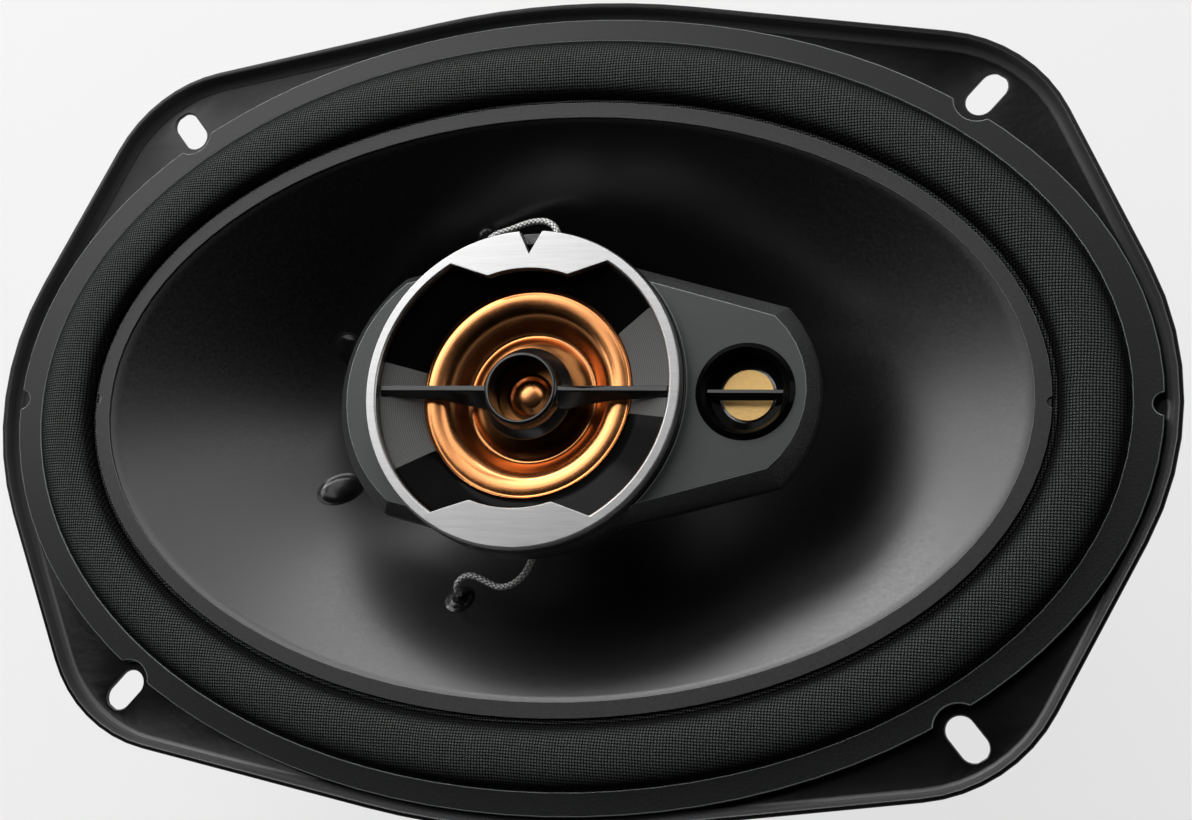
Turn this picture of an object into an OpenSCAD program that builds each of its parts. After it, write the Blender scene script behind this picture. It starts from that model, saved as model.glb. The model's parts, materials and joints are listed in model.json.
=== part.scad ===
// Oval coaxial car speaker of the 6 x 9 inch class, with a tweeter and a super tweeter on a bridge.
// Z = 0 is the panel that the flange is screwed to. +Z is the speaker's axis, towards the listener,
// and X is the oval's long axis, with the super tweeter on the +X side.

/* [Flange] */
// Length of the flange over its turned-up lip, along X
flange_l = 236; // [232:0.5:244]
// Width of the flange over its turned-up lip, along Y
flange_w = 164.4; // [161:0.2:172]
// Radius of the two short ends of the outline
end_r = 58.5; // [50:0.5:66]
// Radius of the two long sides of the outline
side_r = 163; // [140:1:190]
// Radius of the four corners of the outline
corner_r = 30; // [26:0.5:34]
// Turn from X at which a short end's curve runs into the straight edge
end_turn = 25.5; // [23:0.5:28]
// Turn from Y at which a long side's curve runs into the straight edge
side_turn = 9.5; // [8:0.5:11]
// Thickness of the pressed sheet steel
sheet = 1; // [0.8:0.1:1.2]
// Height of the turned-up lip above the panel
lip_h = 4.5; // [3.6:0.1:6]
// Inner radius of the lip's bend
bend_r = 1.4; // [0.8:0.1:2]
// How far the lip leans out over its height
lip_lean = 0.6; // [0.2:0.1:1]

/* [Mounting slots] */
// Distance of each slot's centre from the flange's nearer end, along X
slot_in_x = 35.2; // [34.4:0.2:36]
// Distance of each slot's centre from the flange's nearer side, along Y
slot_in_y = 22.2; // [21.4:0.2:22.8]
// Width of a slot
slot_w = 5.2; // [4.4:0.1:5.6]
// Length of a slot, end to end
slot_len = 9; // [7:0.5:10]
// Direction in which a slot points, from X
slot_turn = 50; // [40:1:60]

/* [Basket] */
// Width of the flange's rim between its end and the oval opening that the surround fills
rim_end_w = 8.6; // [8.4:0.1:10]
// Width of the flange's rim between its side and the opening
rim_side_w = 7.6; // [7.6:0.1:9]
// Depth of the whole speaker behind the panel
mount_depth = 80; // [77:1:90]
// Depth of the basket's upright wall below the panel
wall_depth = 14; // [11:0.5:16]
// How far the upright wall draws in over its depth
wall_draft = 4; // [2:0.5:6]
// Number of spokes between the wall and the spider seat
spoke_count = 8; // [6:1:10]
// Half the angle that a spoke covers at its waist
spoke_waist = 7; // [5:0.5:8]
// Extra half angle where a spoke runs into the wall or the seat
spoke_flare = 5; // [2:0.5:6]
// Height of the stiffening rib pressed along each spoke
rib_h = 1.6; // [0.6:0.2:2.4]
// Outer radius of the ring that carries the spokes' feet
seat_rim_r = 52; // [50:0.5:55]
// Height of the spider seat above the motor seat
cup_h = 14; // [12:0.5:16]

/* [Gasket and surround] */
// Radial width of the gasket at the oval's ends
gasket_end_w = 5.4; // [4.8:0.1:6]
// Radial width of the gasket at the oval's sides
gasket_side_w = 4.6; // [4.2:0.1:5]
// Thickness of the gasket
gasket_t = 2; // [1.4:0.1:2.6]
// Radius of the gasket's relief round the inner end of each slot
relief_r = 4.5; // [3.8:0.1:4.8]
// Radius of the half-round notch at each end of the gasket
gasket_notch_r = 2; // [1:0.1:2.4]
// Width of the surround from the opening to the cone ring
surround_w = 13.4; // [12:0.2:15]
// Height of the surround's roll above its two lands
roll_h = 4.6; // [3.5:0.1:6]
// Thickness of the surround's cloth
cloth_t = 0.5; // [0.4:0.05:0.7]
// Width of the surround's flat land outside the roll
outer_land = 2.2; // [1.6:0.1:2.4]
// Width of the flat land between the roll and the cone ring
inner_land = 1.3; // [0.8:0.1:2]

/* [Cone] */
// Height of the cone's rim above the panel
rim_z = 2.6; // [2.2:0.1:3.4]
// Height from the cone's neck to its rim
cone_depth = 36; // [33:0.5:38]
// Share of the cone's depth that lies on a straight line, the rest curving inwards to the neck
cone_straight = 0.75; // [0.6:0.05:0.9]
// Thickness of the cone
cone_t = 0.6; // [0.4:0.1:0.8]
// Width of the flat ring round the cone's rim
ring_w = 3.1; // [2.4:0.1:4]
// Thickness of that ring
ring_t = 0.5; // [0.4:0.1:0.8]
// Radius of the half-round notch at each end of that ring
ring_notch_r = 1; // [0.6:0.1:1.4]

/* [Motor] */
// Outer radius of the ferrite magnet
magnet_r = 45; // [42:0.5:47]
// Thickness of the magnet
magnet_t = 15; // [13:0.5:18]
// Outer radius of the front plate and of the yoke's back plate
plate_r = 42; // [39:0.5:42]
// Thickness of the front plate and of the yoke's back plate
plate_t = 5; // [4:0.5:6]
// Radius of the pole
pole_r = 14.5; // [14:0.1:15]
// Clearance on each side of the voice coil in the gap
coil_gap = 0.6; // [0.5:0.05:0.8]
// Wall of the voice coil's former
former_t = 0.3; // [0.2:0.05:0.4]
// Radial thickness of the winding
winding_t = 0.55; // [0.4:0.05:0.7]
// Height of the winding
winding_h = 11; // [9:0.5:12]
// Outer radius of the spider
spider_r = 46.5; // [44:0.5:47]
// Number of corrugations across the spider
spider_waves = 5; // [4:1:6]

/* [Bridge] */
// Radius of the post on the pole
post_r = 7; // [6:0.25:8]
// Height of the bridge housing's face above the panel
face_z = 11; // [10:0.25:12]
// Height of the bridge housing's body below its face
housing_h = 6; // [5.6:0.1:6.4]
// Height of the bevel round the face
bevel_h = 3.6; // [2.6:0.2:4.4]
// Width of the bevel round the face
bevel_w = 2.5; // [1.5:0.1:3]
// Wall of the housing
housing_wall = 1.8; // [1.4:0.1:2.2]
// Distance of the arm's square shoulders from the axis, along X
arm_x = 49.2; // [48:0.2:52]
// Half width of the arm at those shoulders
arm_y = 16.9; // [16:0.1:18]
// How far the arm's rounded end stands out beyond its shoulders
arm_bulge = 6.5; // [5:0.25:7]
// Distance of the rounded heel's end from the axis, along X
heel_x = 38.9; // [38:0.1:40]
// Distance of the heel's shoulders from the axis, along X
heel_shoulder_x = 27.4; // [26:0.1:29]
// Half width of the heel at its shoulders
heel_shoulder_y = 23.8; // [23:0.1:25]
// Radius of the round drum that carries the tweeter
drum_r = 31.5; // [30.5:0.1:32.5]
// Thickness of the plate that closes the housing from below
base_t = 1.6; // [1.2:0.1:2]

/* [Tweeter] */
// Height of the trim ring's face above the panel
trim_z = 14.5; // [14.2:0.1:16]
// Thickness of the trim ring
trim_t = 2; // [1.4:0.1:2.2]
// Outer radius of the trim ring's face
trim_r = 30.85; // [30:0.05:31]
// Inner radius of the trim ring between its pads
trim_in_r = 28.9; // [28.2:0.1:29.2]
// Inner radius of the trim ring's two pads
pad_r = 23.4; // [22.5:0.1:25]
// Half the angle of a pad at its inner edge
pad_in_turn = 20; // [15:1:24]
// Half the angle of a pad where it meets the ring
pad_out_turn = 33; // [28:1:38]
// Depth of the V notch in the trim ring
notch_depth = 4.5; // [3:0.1:5]
// Width of the V notch at the ring's edge
notch_w = 4.6; // [3:0.1:6]
// Radius of the tweeter's diaphragm
dome_r = 20.3; // [19.5:0.1:20.8]
// Depth of the diaphragm from its rim to its voice coil
dome_depth = 4.4; // [4:0.1:4.6]
// Rise of the diaphragm from its voice coil to its middle
dome_rise = 2.7; // [2:0.1:3.2]
// Radius of the tweeter's voice coil
tweeter_coil_r = 12.4; // [12:0.1:13]
// Outer radius of the tube in the middle of the crossbar
tube_r = 7.2; // [6.5:0.1:8]
// Wall of that tube
tube_t = 0.9; // [0.7:0.1:1.2]
// Thickness of the crossbar's upper edge
bar_t = 1.1; // [0.8:0.1:1.6]

/* [Super tweeter] */
// Distance of the super tweeter's centre from the axis, along X
super_x = 42.5; // [41.5:0.1:43.5]
// Outer radius of its cup ring
cup_r = 9.3; // [8.8:0.1:9.6]
// Inner radius of its cup ring
cup_in_r = 7.3; // [7:0.1:7.6]
// Radius of its disc
disc_r = 4.85; // [4.6:0.05:5]

/* [Leads] */
// Radius of the two eyelets that the leads leave the cone by
eyelet_r = 2.9; // [2.4:0.1:3.2]
// Radius of the two glue patches over the voice coil's ends
patch_r = 3.8; // [3:0.1:4.2]

/* [Terminals] */
// Width of the terminal board
board_w = 36; // [34:1:40]
// Length of the terminal board, away from the axis
board_l = 16; // [14:0.5:18]
// Thickness of the terminal board
board_t = 2; // [1.5:0.1:2.5]
// Width of the positive blade
blade_wide = 4.8; // [4:0.1:5.2]
// Width of the negative blade
blade_narrow = 2.8; // [2.4:0.1:3.4]
// Length of each blade beyond the board
blade_l = 8; // [6:0.5:9]

/* [Hidden] */

round_fn = 96;      // facets of a drawn circle
oval_steps = 72;    // steps round an oval sweep
soft_gap = 0.15;    // between a soft piece and what it is glued to on another body
overlap = 0.2;      // how far two parts of one pressing or moulding run into each other

// flange
end_cx = flange_l / 2 - end_r;
side_cy = flange_w / 2 - side_r;
straight_a = end_turn;
straight_b = 90 - side_turn;
bend_out_r = bend_r + sheet;
flat_inset = bend_out_r + lip_lean;
slot_x = flange_l / 2 - slot_in_x;
slot_y = flange_w / 2 - slot_in_y;

// opening, gasket, surround
open_a = flange_l / 2 - rim_end_w;
open_b = flange_w / 2 - rim_side_w;
gasket_a = open_a + gasket_end_w;
gasket_b = open_b + gasket_side_w;
gasket_z = sheet + gasket_t;
slot_inner_shift = (slot_len - slot_w) / 2;

// cone
ring_a = open_a - surround_w;
ring_b = open_b - surround_w;
cone_a = ring_a - ring_w;
cone_b = ring_b - ring_w;
neck_z = rim_z - cone_depth;

// motor, from the back up
back_z = -mount_depth;
magnet_z = back_z + plate_t;
front_plate_z = magnet_z + magnet_t;
motor_z = front_plate_z + plate_t;
former_r = pole_r + coil_gap;
former_out_r = former_r + former_t;
winding_r = former_out_r + winding_t;
gap_r = winding_r + coil_gap;
winding_mid_z = front_plate_z + plate_t / 2;
former_top_z = neck_z + 2;
seat_z = motor_z + sheet + cup_h;
cup_floor_r = plate_r - 5;
cup_wall_r = plate_r - 2;
seat_step_r = spider_r + 0.5;
seat_step_h = 1.5;
rivet_r = 2;
rivet_head_r = 3.4;
rivet_head_h = 1.5;
rivet_depth = 3;
rivet_circle_r = (cup_floor_r + gap_r + 1) / 2;
rivet_count = 4;

// bridge
screw_r = 2;
screw_head_r = 3.8;
screw_head_h = 2.6;
screw_clear = 0.3;
housing_z = face_z - housing_h;
base_z = housing_z - base_t;
base_cup_r = 21.5;
base_cup_z = -8;
base_foot_r = post_r + 2.5;
base_foot_h = 6;
base_foot_z = base_cup_z - base_foot_h;
base_floor_t = 3;
base_wire_well_r = 8;
bore_r = trim_in_r + 0.2;
base_screw_r = 1.1;
base_screw_head_r = 2.2;
base_screw_head_h = 1.2;
base_screw_depth = 3.4;
base_screw_in_x = 3.6;
base_screw_in_y = 6.2;
base_screw_heel_in = 3.2;
base_screw_end = 0.4;
base_screw_places = [[arm_x - base_screw_in_x, arm_y - base_screw_in_y],
    [arm_x - base_screw_in_x, base_screw_in_y - arm_y], [base_screw_heel_in - heel_x, 0]];
screw_boss_r = 2.4;

// tweeter
trim_base_z = trim_z - trim_t;
dome_z = face_z - 1.7;
dome_t = 0.25;
rim_clamp_z = dome_z - 0.8;
dome_valley_z = dome_z - dome_depth;
dome_top_z = dome_valley_z + dome_rise;
bezel_top_z = trim_base_z;
bezel_in_r = dome_r + 0.5;
yoke_r = 18.5;
yoke_floor_z = base_cup_z + base_floor_t;
yoke_floor_t = 2.5;
yoke_top_z = dome_valley_z - 1.2;
tweeter_former_t = 0.2;
tweeter_winding_t = 0.35;
tweeter_former_h = 4.4;
tweeter_winding_h = 2.8;
tweeter_pole_h = 2.2;
tweeter_magnet_in = 1;
tweeter_gap = 0.35;
tube_top_z = trim_z - 1;
bar_low_z = bezel_top_z - 0.7;
bar_top_z = bezel_top_z + 0.6;
bar_reach = trim_in_r - 0.4;
bar_flank_w = 2.8;
bar_foot_w = 0.9;

// super tweeter
disc_z = face_z - 3;
super_yoke_r = 5.7;
super_coil_r = 3.7;
super_winding_t = 0.4;
super_gap = 0.35;
super_bar_t = 0.7;
super_bar_h = 1.4;
super_bar_flank_w = 1.1;

// cone's furniture
eyelet_s = 0.45;
eyelet_t = 107;
eyelet_h = 1;
eyelet_edge_h = 0.5;
eyelet_edge_w = 0.7;
eyelet_lift = 0.2;
patch_s = 0.54;
patch_t = 155;
patch_h = 1.1;
patch_edge_h = 0.3;
patch_edge_w = 1.2;
patch_lift = 0.35;

// leads: each runs from its eyelet on the cone to the underside of the bridge base
lead_r = 0.65;
upper_route = [[-16.8, 36.4, -9.6], [-16.6, 36.1, -8.5], [-15.9, 36.5, -7.3], [-14.6, 37.3, -6.7],
    [-12.7, 37.9, -6.4], [-10.7, 38.2, -5.7], [-8.6, 38.6, -4.9], [-6.5, 38.9, -4.1], [-4.5, 38.9, -3.4],
    [-2.7, 38.6, -2.8], [-1.2, 37.8, -2.3], [-0.1, 36.6, -1.9], [0.6, 35, -1.6], [1, 33.1, -1.2],
    [1.3, 31.1, -0.7], [1.4, 29.1, 0], [1.4, 27.2, 0.9], [1.5, 26.1, 2], [1.5, 25.8, 3.25]];
lower_route = [[-16.8, -36.4, -9.6], [-16.9, -35.8, -8.4], [-16.6, -34.8, -7.3], [-15.6, -33.8, -6.6],
    [-14.2, -33.2, -6.2], [-12.6, -33.3, -6], [-11, -33.9, -5.9], [-9.4, -34.6, -5.8],
    [-7.8, -35.2, -5.6], [-6.2, -35.3, -5.2], [-4.5, -34.9, -4.6], [-2.9, -34, -4], [-1.5, -32.7, -3.3],
    [-0.4, -31.1, -2.5], [0.5, -29.4, -1.5], [1.1, -27.8, -0.3], [1.4, -26.6, 1], [1.5, -26, 2.2],
    [1.5, -25.8, 3.25]];

// terminals
tab_l = 16;
tab_w = board_w - 18;
tab_z = seat_z + seat_step_h - sheet;
board_x = seat_rim_r + 0.8;
board_rivet_x = board_x + board_l - 4.2;
board_rivet_head_r = rivet_r + 0.9;

// ---- shapes shared by several pieces ----

function arc(cx, cy, r, from, to, steps) =
    [for (i = [0:steps]) let (a = from + (to - from) * i / steps) [cx + r * cos(a), cy + r * sin(a)]];

// Where two lines meet, each given by the direction it faces and its distance from the centre.
function meet(turn_a, reach_a, turn_b, reach_b) = let (d = sin(turn_b - turn_a)) [
    (reach_a * sin(turn_b) - reach_b * sin(turn_a)) / d,
    (reach_b * cos(turn_a) - reach_a * cos(turn_b)) / d];

corner_c = meet(straight_a, end_cx * cos(straight_a) + end_r - corner_r,
                straight_b, side_cy * sin(straight_b) + side_r - corner_r);

// A quarter of the flange's outline, drawn in from its edge: end curve, corner, side curve.
function flange_quarter(inset) = concat(
    arc(end_cx, 0, end_r - inset, 0, straight_a, 4),
    arc(corner_c[0], corner_c[1], corner_r - inset, straight_a, straight_b, 8),
    arc(0, side_cy, side_r - inset, straight_b, 90, 4));

// The whole outline from its quarter, without repeating the points on the axes.
function all_round(quarter) = let (n = len(quarter)) concat(
    quarter,
    [for (i = [n - 2:-1:0]) [-quarter[i][0], quarter[i][1]]],
    [for (i = [1:n - 1]) [-quarter[i][0], -quarter[i][1]]],
    [for (i = [n - 2:-1:1]) [quarter[i][0], -quarter[i][1]]]);

function flange_outline(inset) = all_round(flange_quarter(inset));

// An oval through steps points, the same steps as every oval sweep has.
function oval(a, b, steps = oval_steps) =
    [for (i = [0:steps - 1]) let (t = 360 * i / steps) [a * cos(t), b * sin(t)]];

// Skins a row of closed profiles. Each profile runs up its outer side and back down its inner side.
module sweep(profiles, closed) {
    n = len(profiles);
    m = len(profiles[0]);
    half = m / 2;
    last = closed ? n - 1 : n - 2;
    walls = [for (i = [0:last], j = [0:m - 1]) let (
        k = (i + 1) % n, l = (j + 1) % m,
        a = i * m + j, b = i * m + l, c = k * m + l, d = k * m + j)
        each [[a, b, c], [a, c, d]]];
    caps = closed ? [] : [for (j = [0:half - 2]) let (
        a = j, b = j + 1, c = m - 2 - j, d = m - 1 - j, s = (n - 1) * m)
        each [[d, c, b], [d, b, a], [s + a, s + b, s + c], [s + a, s + c, s + d]]];
    polyhedron(points = [for (p = profiles) each p], faces = concat(walls, caps), convexity = 8);
}

// A round cord along a list of points, with flat ends.
module cord(path, r, sides = 8) {
    n = len(path);
    rings = [for (i = [0:n - 1]) let (
        ahead = path[min(i + 1, n - 1)] - path[max(i - 1, 0)],
        along = ahead / norm(ahead),
        side = cross(along, [0, 0.2, 1]),
        u = side / norm(side),
        v = cross(along, u))
        each [for (k = [0:sides - 1]) path[i] + r * (cos(360 * k / sides) * u + sin(360 * k / sides) * v)]];
    walls = [for (i = [0:n - 2], k = [0:sides - 1]) let (
        l = (k + 1) % sides, a = i * sides + k, b = i * sides + l)
        each [[a, a + sides, b + sides], [a, b + sides, b]]];
    ends = [[for (k = [0:sides - 1]) k], [for (k = [sides - 1:-1:0]) (n - 1) * sides + k]];
    polyhedron(points = rings, faces = concat(walls, ends), convexity = 6);
}

module turned(profile) { rotate_extrude($fn = round_fn) polygon(profile); }

module tube(r_out, r_in, z, h) {
    translate([0, 0, z]) difference() {
        cylinder(r = r_out, h = h, $fn = round_fn);
        translate([0, 0, -1]) cylinder(r = r_in, h = h + 2, $fn = round_fn);
    }
}

module slot(z, h) {
    translate([0, 0, z]) {
        for (s = [-1, 1]) translate([s * slot_inner_shift, 0, 0]) cylinder(r = slot_w / 2, h = h, $fn = 48);
        translate([-slot_inner_shift, -slot_w / 2, 0]) cube([2 * slot_inner_shift, slot_w, h]);
    }
}

module at_slots() {
    for (sx = [-1, 1], sy = [-1, 1])
        translate([sx * slot_x, sy * slot_y, 0]) rotate(sx * sy * slot_turn) children();
}

module at_rivets() {
    for (i = [0:rivet_count - 1]) rotate(45 + 360 * i / rivet_count)
        translate([rivet_circle_r, 0, 0]) children();
}

// ---- basket ----

module flange_plate() {
    difference() {
        linear_extrude(sheet) polygon(flange_outline(flat_inset + 0.5));
        translate([0, 0, -1]) linear_extrude(sheet + 2)
            polygon(oval(open_a + sheet / 2, open_b + sheet / 2));
        at_slots() slot(-1, sheet + 2);
    }
}

// The bend and the lip round the flange: each ring of the outline is drawn in by its own amount.
module flange_lip() {
    steps = 3;
    bend = arc(flat_inset, bend_out_r, 1, 270, 180, steps);
    outer = [for (i = [0:steps]) let (a = 270 - 90 * i / steps)
        [flat_inset + bend_out_r * cos(a), bend_out_r + bend_out_r * sin(a)]];
    inner = [for (i = [0:steps]) let (a = 180 + 90 * i / steps)
        [flat_inset + bend_r * cos(a), bend_out_r + bend_r * sin(a)]];
    section = concat([[flat_inset + 1.2, 0]], outer, [[0, lip_h]],
                     [[sheet, lip_h]], inner, [[flat_inset + 1.2, sheet]]);
    rings = [for (p = section) flange_outline(p[0])];
    sweep([for (i = [0:len(rings[0]) - 1])
        [for (j = [0:len(section) - 1]) [rings[j][i][0], rings[j][i][1], section[j][1]]]], true);
}

// The upright wall: stations of [draw-in, height] down its outer side and up its inner side.
module basket_wall() {
    hem = 0.25;
    z_foot = -wall_depth;
    outer = [[wall_draft - sheet - hem, z_foot], [wall_draft - sheet - hem - 0.8, z_foot + 3],
             [wall_draft * 0.45 - sheet, z_foot * 0.5], [-sheet, 0], [-sheet, sheet]];
    inner = [[0, sheet], [0.3, -1.2], [wall_draft * 0.45, z_foot * 0.5],
             [wall_draft + hem - 0.8, z_foot + 3], [wall_draft + hem, z_foot]];
    section = concat(outer, inner);
    rings = [for (p = section) oval(open_a - p[0], open_b - p[0])];
    sweep([for (i = [0:oval_steps - 1])
        [for (j = [0:len(section) - 1]) [rings[j][i][0], rings[j][i][1], section[j][1]]]], true);
}

// The basket's skin between the wall's foot (u = 0) and the spider seat's rim (u = 1).
spoke_top_z = 1.2 - wall_depth;
spoke_foot_z = seat_z + seat_step_h - sheet;
function skin_a(u) = open_a - wall_draft + sheet / 2 + (seat_rim_r - 2 - open_a + wall_draft) * u;
function skin_b(u) = open_b - wall_draft + sheet / 2 + (seat_rim_r - 2 - open_b + wall_draft) * u;
function skin_z(u) = spoke_foot_z + (spoke_top_z - spoke_foot_z) * pow(1 - u, 1.5);

// One spoke: columns across it, each running up its outer side and down its inner side.
module spoke(turn) {
    rows = 8;
    columns = [-1, -0.55, -0.35, 0, 0.35, 0.55, 1];
    rise = [0, 0, 1, 1, 1, 0, 0];
    sweep([for (c = [0:len(columns) - 1]) concat(
        [for (k = [rows:-1:0]) spoke_point(turn, columns[c], rise[c], k / rows, 0)],
        [for (k = [0:rows]) spoke_point(turn, columns[c], rise[c], k / rows, 1)])], false);
}

function spoke_point(turn, across, rise, u, side) = let (
    t = turn + across * (spoke_waist + spoke_flare * pow(2 * u - 1, 4)),
    out = rise * rib_h * sin(180 * u) - side * sheet * 0.75,
    up = side * sheet * 0.6)
    [(skin_a(u) + out) * cos(t), (skin_b(u) + out) * sin(t), skin_z(u) + up];

// Spider seat with its step, the cup below it and the floor that is riveted to the front plate.
module seat_and_cup() {
    step_z = seat_z + seat_step_h;
    difference() {
        turned([[gap_r + 1, motor_z], [cup_floor_r, motor_z], [cup_floor_r + 1.2, motor_z + 0.6],
                [cup_wall_r, seat_z - sheet - 1.4], [cup_wall_r + 1.4, seat_z - sheet],
                [seat_step_r + sheet, seat_z - sheet], [seat_step_r + sheet + 0.6, step_z - sheet - overlap],
                [seat_rim_r, step_z - sheet - overlap], [seat_rim_r, step_z + overlap],
                [seat_step_r + 0.6, step_z + overlap], [seat_step_r, seat_z],
                [cup_wall_r + 1, seat_z], [cup_wall_r - sheet, seat_z - 1.6],
                [cup_floor_r + 0.4, motor_z + sheet + 0.4], [cup_floor_r - 0.4, motor_z + sheet],
                [gap_r + 1, motor_z + sheet]]);
        at_rivets() translate([0, 0, motor_z - 1]) cylinder(r = rivet_r, h = sheet + 2, $fn = 32);
    }
}

// The flat tab at the seat's rim that the terminal board is riveted under.
module terminal_tab() {
    difference() {
        translate([-seat_rim_r - tab_l, -tab_w / 2, tab_z]) cube([tab_l + 3, tab_w, sheet]);
        translate([-board_rivet_x, 0, tab_z - 1]) cylinder(r = rivet_r, h = sheet + 2, $fn = 32);
    }
}

module basket_frame() {
    color([0.07, 0.07, 0.075]) {
        flange_plate();
        flange_lip();
        basket_wall();
        for (i = [0:spoke_count - 1]) spoke(180 + 360 * i / spoke_count);
        seat_and_cup();
        terminal_tab();
    }
}

// ---- gasket and surround ----

module gasket() {
    color([0.16, 0.165, 0.165]) difference() {
        translate([0, 0, sheet]) linear_extrude(gasket_t) polygon(oval(gasket_a, gasket_b, 96));
        translate([0, 0, sheet - 1]) linear_extrude(gasket_t + 2) polygon(oval(open_a, open_b, 96));
        translate([0, 0, sheet - 1]) linear_extrude(1 + cloth_t)
            polygon(oval(open_a + outer_land + soft_gap, open_b + outer_land + soft_gap, 96));
        at_slots() translate([-slot_inner_shift, 0, 0]) cylinder(r = relief_r, h = 10, $fn = 48);
        for (s = [-1, 1]) translate([s * gasket_a, 0, 0]) cylinder(r = gasket_notch_r, h = 10, $fn = 32);
    }
}

surround_out_z = sheet + cloth_t / 2;
surround_in_z = rim_z - soft_gap - cloth_t / 2;

// The surround's middle line: [draw-in from the opening, height].
function surround_line() = let (
    steps = 10, w = surround_w - inner_land, in_z = surround_in_z, out_z = surround_out_z)
    concat([[-outer_land, out_z]],
           [for (i = [0:steps]) let (a = 180 * i / steps, x = (1 - cos(a)) / 2)
               [w * x, out_z + (in_z - out_z) * x + roll_h * sin(a)]],
           [[surround_w + ring_w - 0.6, in_z]]);

module surround() {
    line = surround_line();
    n = len(line);
    bent = [for (i = [0:n - 1]) let (
        d = line[min(i + 1, n - 1)] - line[max(i - 1, 0)], e = d / norm(d)) [-e[1], e[0]] * cloth_t / 2];
    flat = [for (i = [0:n - 1]) (i <= 1 || i >= n - 2) ? [0, cloth_t / 2] : bent[i]];
    section = concat([for (i = [n - 1:-1:0]) line[i] - flat[i]], [for (i = [0:n - 1]) line[i] + flat[i]]);
    rings = [for (p = section) oval(open_a - p[0], open_b - p[0])];
    color([0.09, 0.09, 0.095]) sweep([for (i = [0:oval_steps - 1])
        [for (j = [0:len(section) - 1]) [rings[j][i][0], rings[j][i][1], section[j][1]]]], true);
}

// ---- cone and what is glued to it ----

// Height of the cone's upper face at s, from 0 at its rim to 1 at its neck, above the neck's own height.
function cone_drop(s) = cone_depth * (cone_straight * s + (1 - cone_straight) * s * s);
function cone_slope(s) = cone_depth * (cone_straight + 2 * (1 - cone_straight) * s);
function cone_at(s, t) = [
    (cone_a + (former_out_r - cone_a) * s) * cos(t),
    (cone_b + (former_out_r - cone_b) * s) * sin(t),
    rim_z + cone_t - cone_drop(s)];
// The cone's upward normal at s and t.
function cone_normal(s, t) = let (
    along = [(former_out_r - cone_a) * cos(t), (former_out_r - cone_b) * sin(t), -cone_slope(s)],
    round = [-(cone_a + (former_out_r - cone_a) * s) * sin(t),
             (cone_b + (former_out_r - cone_b) * s) * cos(t), 0],
    n = cross(along, round)) n[2] > 0 ? n / norm(n) : -n / norm(n);

module cone() {
    rows = 9;
    glue = 0.08;
    upper = concat([[0, rim_z + cone_t, 1]], [for (k = [0:rows]) let (s = k / rows)
        [s, rim_z + cone_t - cone_drop(s), 0]]);
    function point(row, t, low) = let (s = row[0], z = row[1],
        a = row[2] == 1 ? ring_a - soft_gap : cone_a + (former_out_r + glue - cone_a) * s,
        b = row[2] == 1 ? ring_b - soft_gap : cone_b + (former_out_r + glue - cone_b) * s)
        [a * cos(t), b * sin(t), z - low * cone_t * (1 + 0.5 * s)];
    color([0.2, 0.2, 0.205]) sweep([for (i = [0:oval_steps - 1]) let (t = 360 * i / oval_steps) concat(
        [for (k = [rows + 1:-1:0]) point(upper[k], t, 1)],
        [for (k = [0:rows + 1]) point(upper[k], t, 0)])], true);
}

module cone_ring() {
    z = rim_z + cone_t;
    color([0.3, 0.3, 0.305]) difference() {
        translate([0, 0, z]) linear_extrude(ring_t) polygon(oval(ring_a, ring_b, 96));
        translate([0, 0, z - 1]) linear_extrude(ring_t + 2) polygon(oval(cone_a, cone_b, 96));
        for (s = [-1, 1]) translate([s * ring_a, 0, z - 1])
            cylinder(r = ring_notch_r, h = ring_t + 2, $fn = 32);
    }
}

module coil_former() {
    z = winding_mid_z - winding_h / 2;
    color([0.75, 0.6, 0.3]) tube(former_out_r, former_r, z, former_top_z - z);
}

module voice_coil() {
    color([0.72, 0.4, 0.18]) tube(winding_r, former_out_r, winding_mid_z - winding_h / 2, winding_h);
}

module dust_seal() {
    color([0.08, 0.08, 0.08]) tube(former_r, post_r + 0.7, former_top_z - 2.5, 1.5);
}

module spider() {
    steps = 8 * spider_waves;
    in_r = former_out_r + soft_gap;
    wave_in_r = in_r + 2.5;
    wave_out_r = cup_wall_r + 1;
    wave_h = 1.3;
    thick = 0.5;
    mid_z = seat_z + thick / 2;
    line = concat([[in_r, mid_z], [wave_in_r, mid_z]],
        [for (i = [1:steps - 1]) let (x = i / steps)
            [wave_in_r + (wave_out_r - wave_in_r) * x, mid_z - wave_h * sin(360 * spider_waves * x)]],
        [[wave_out_r, mid_z], [spider_r, mid_z]]);
    n = len(line);
    color([0.62, 0.55, 0.35]) turned(concat(
        [for (i = [0:n - 1]) line[i] - [0, thick / 2]],
        [for (i = [n - 1:-1:0]) line[i] + [0, thick / 2]]));
}

// Stands a piece on the cone at s and t, turned to the cone's slope.
module on_cone(s, t, lift) {
    p = cone_at(s, t);
    n = cone_normal(s, t);
    translate(p + n * lift) rotate([0, acos(n[2]), atan2(n[1], n[0])]) children();
}

module lead_eyelets() {
    color([0.03, 0.03, 0.03]) for (side = [-1, 1]) on_cone(eyelet_s, side * eyelet_t, eyelet_lift)
        turned([[0, 0], [eyelet_r, 0], [eyelet_r, eyelet_edge_h],
            [eyelet_r - eyelet_edge_w, eyelet_h], [0, eyelet_h]]);
}

module glue_patches() {
    color([0.12, 0.12, 0.12]) for (side = [-1, 1]) on_cone(patch_s, side * patch_t, patch_lift)
        turned([[0, 0], [patch_r, 0], [patch_r, patch_edge_h],
            [patch_r - patch_edge_w, patch_h * 0.8], [0, patch_h]]);
}

// ---- motor ----

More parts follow.
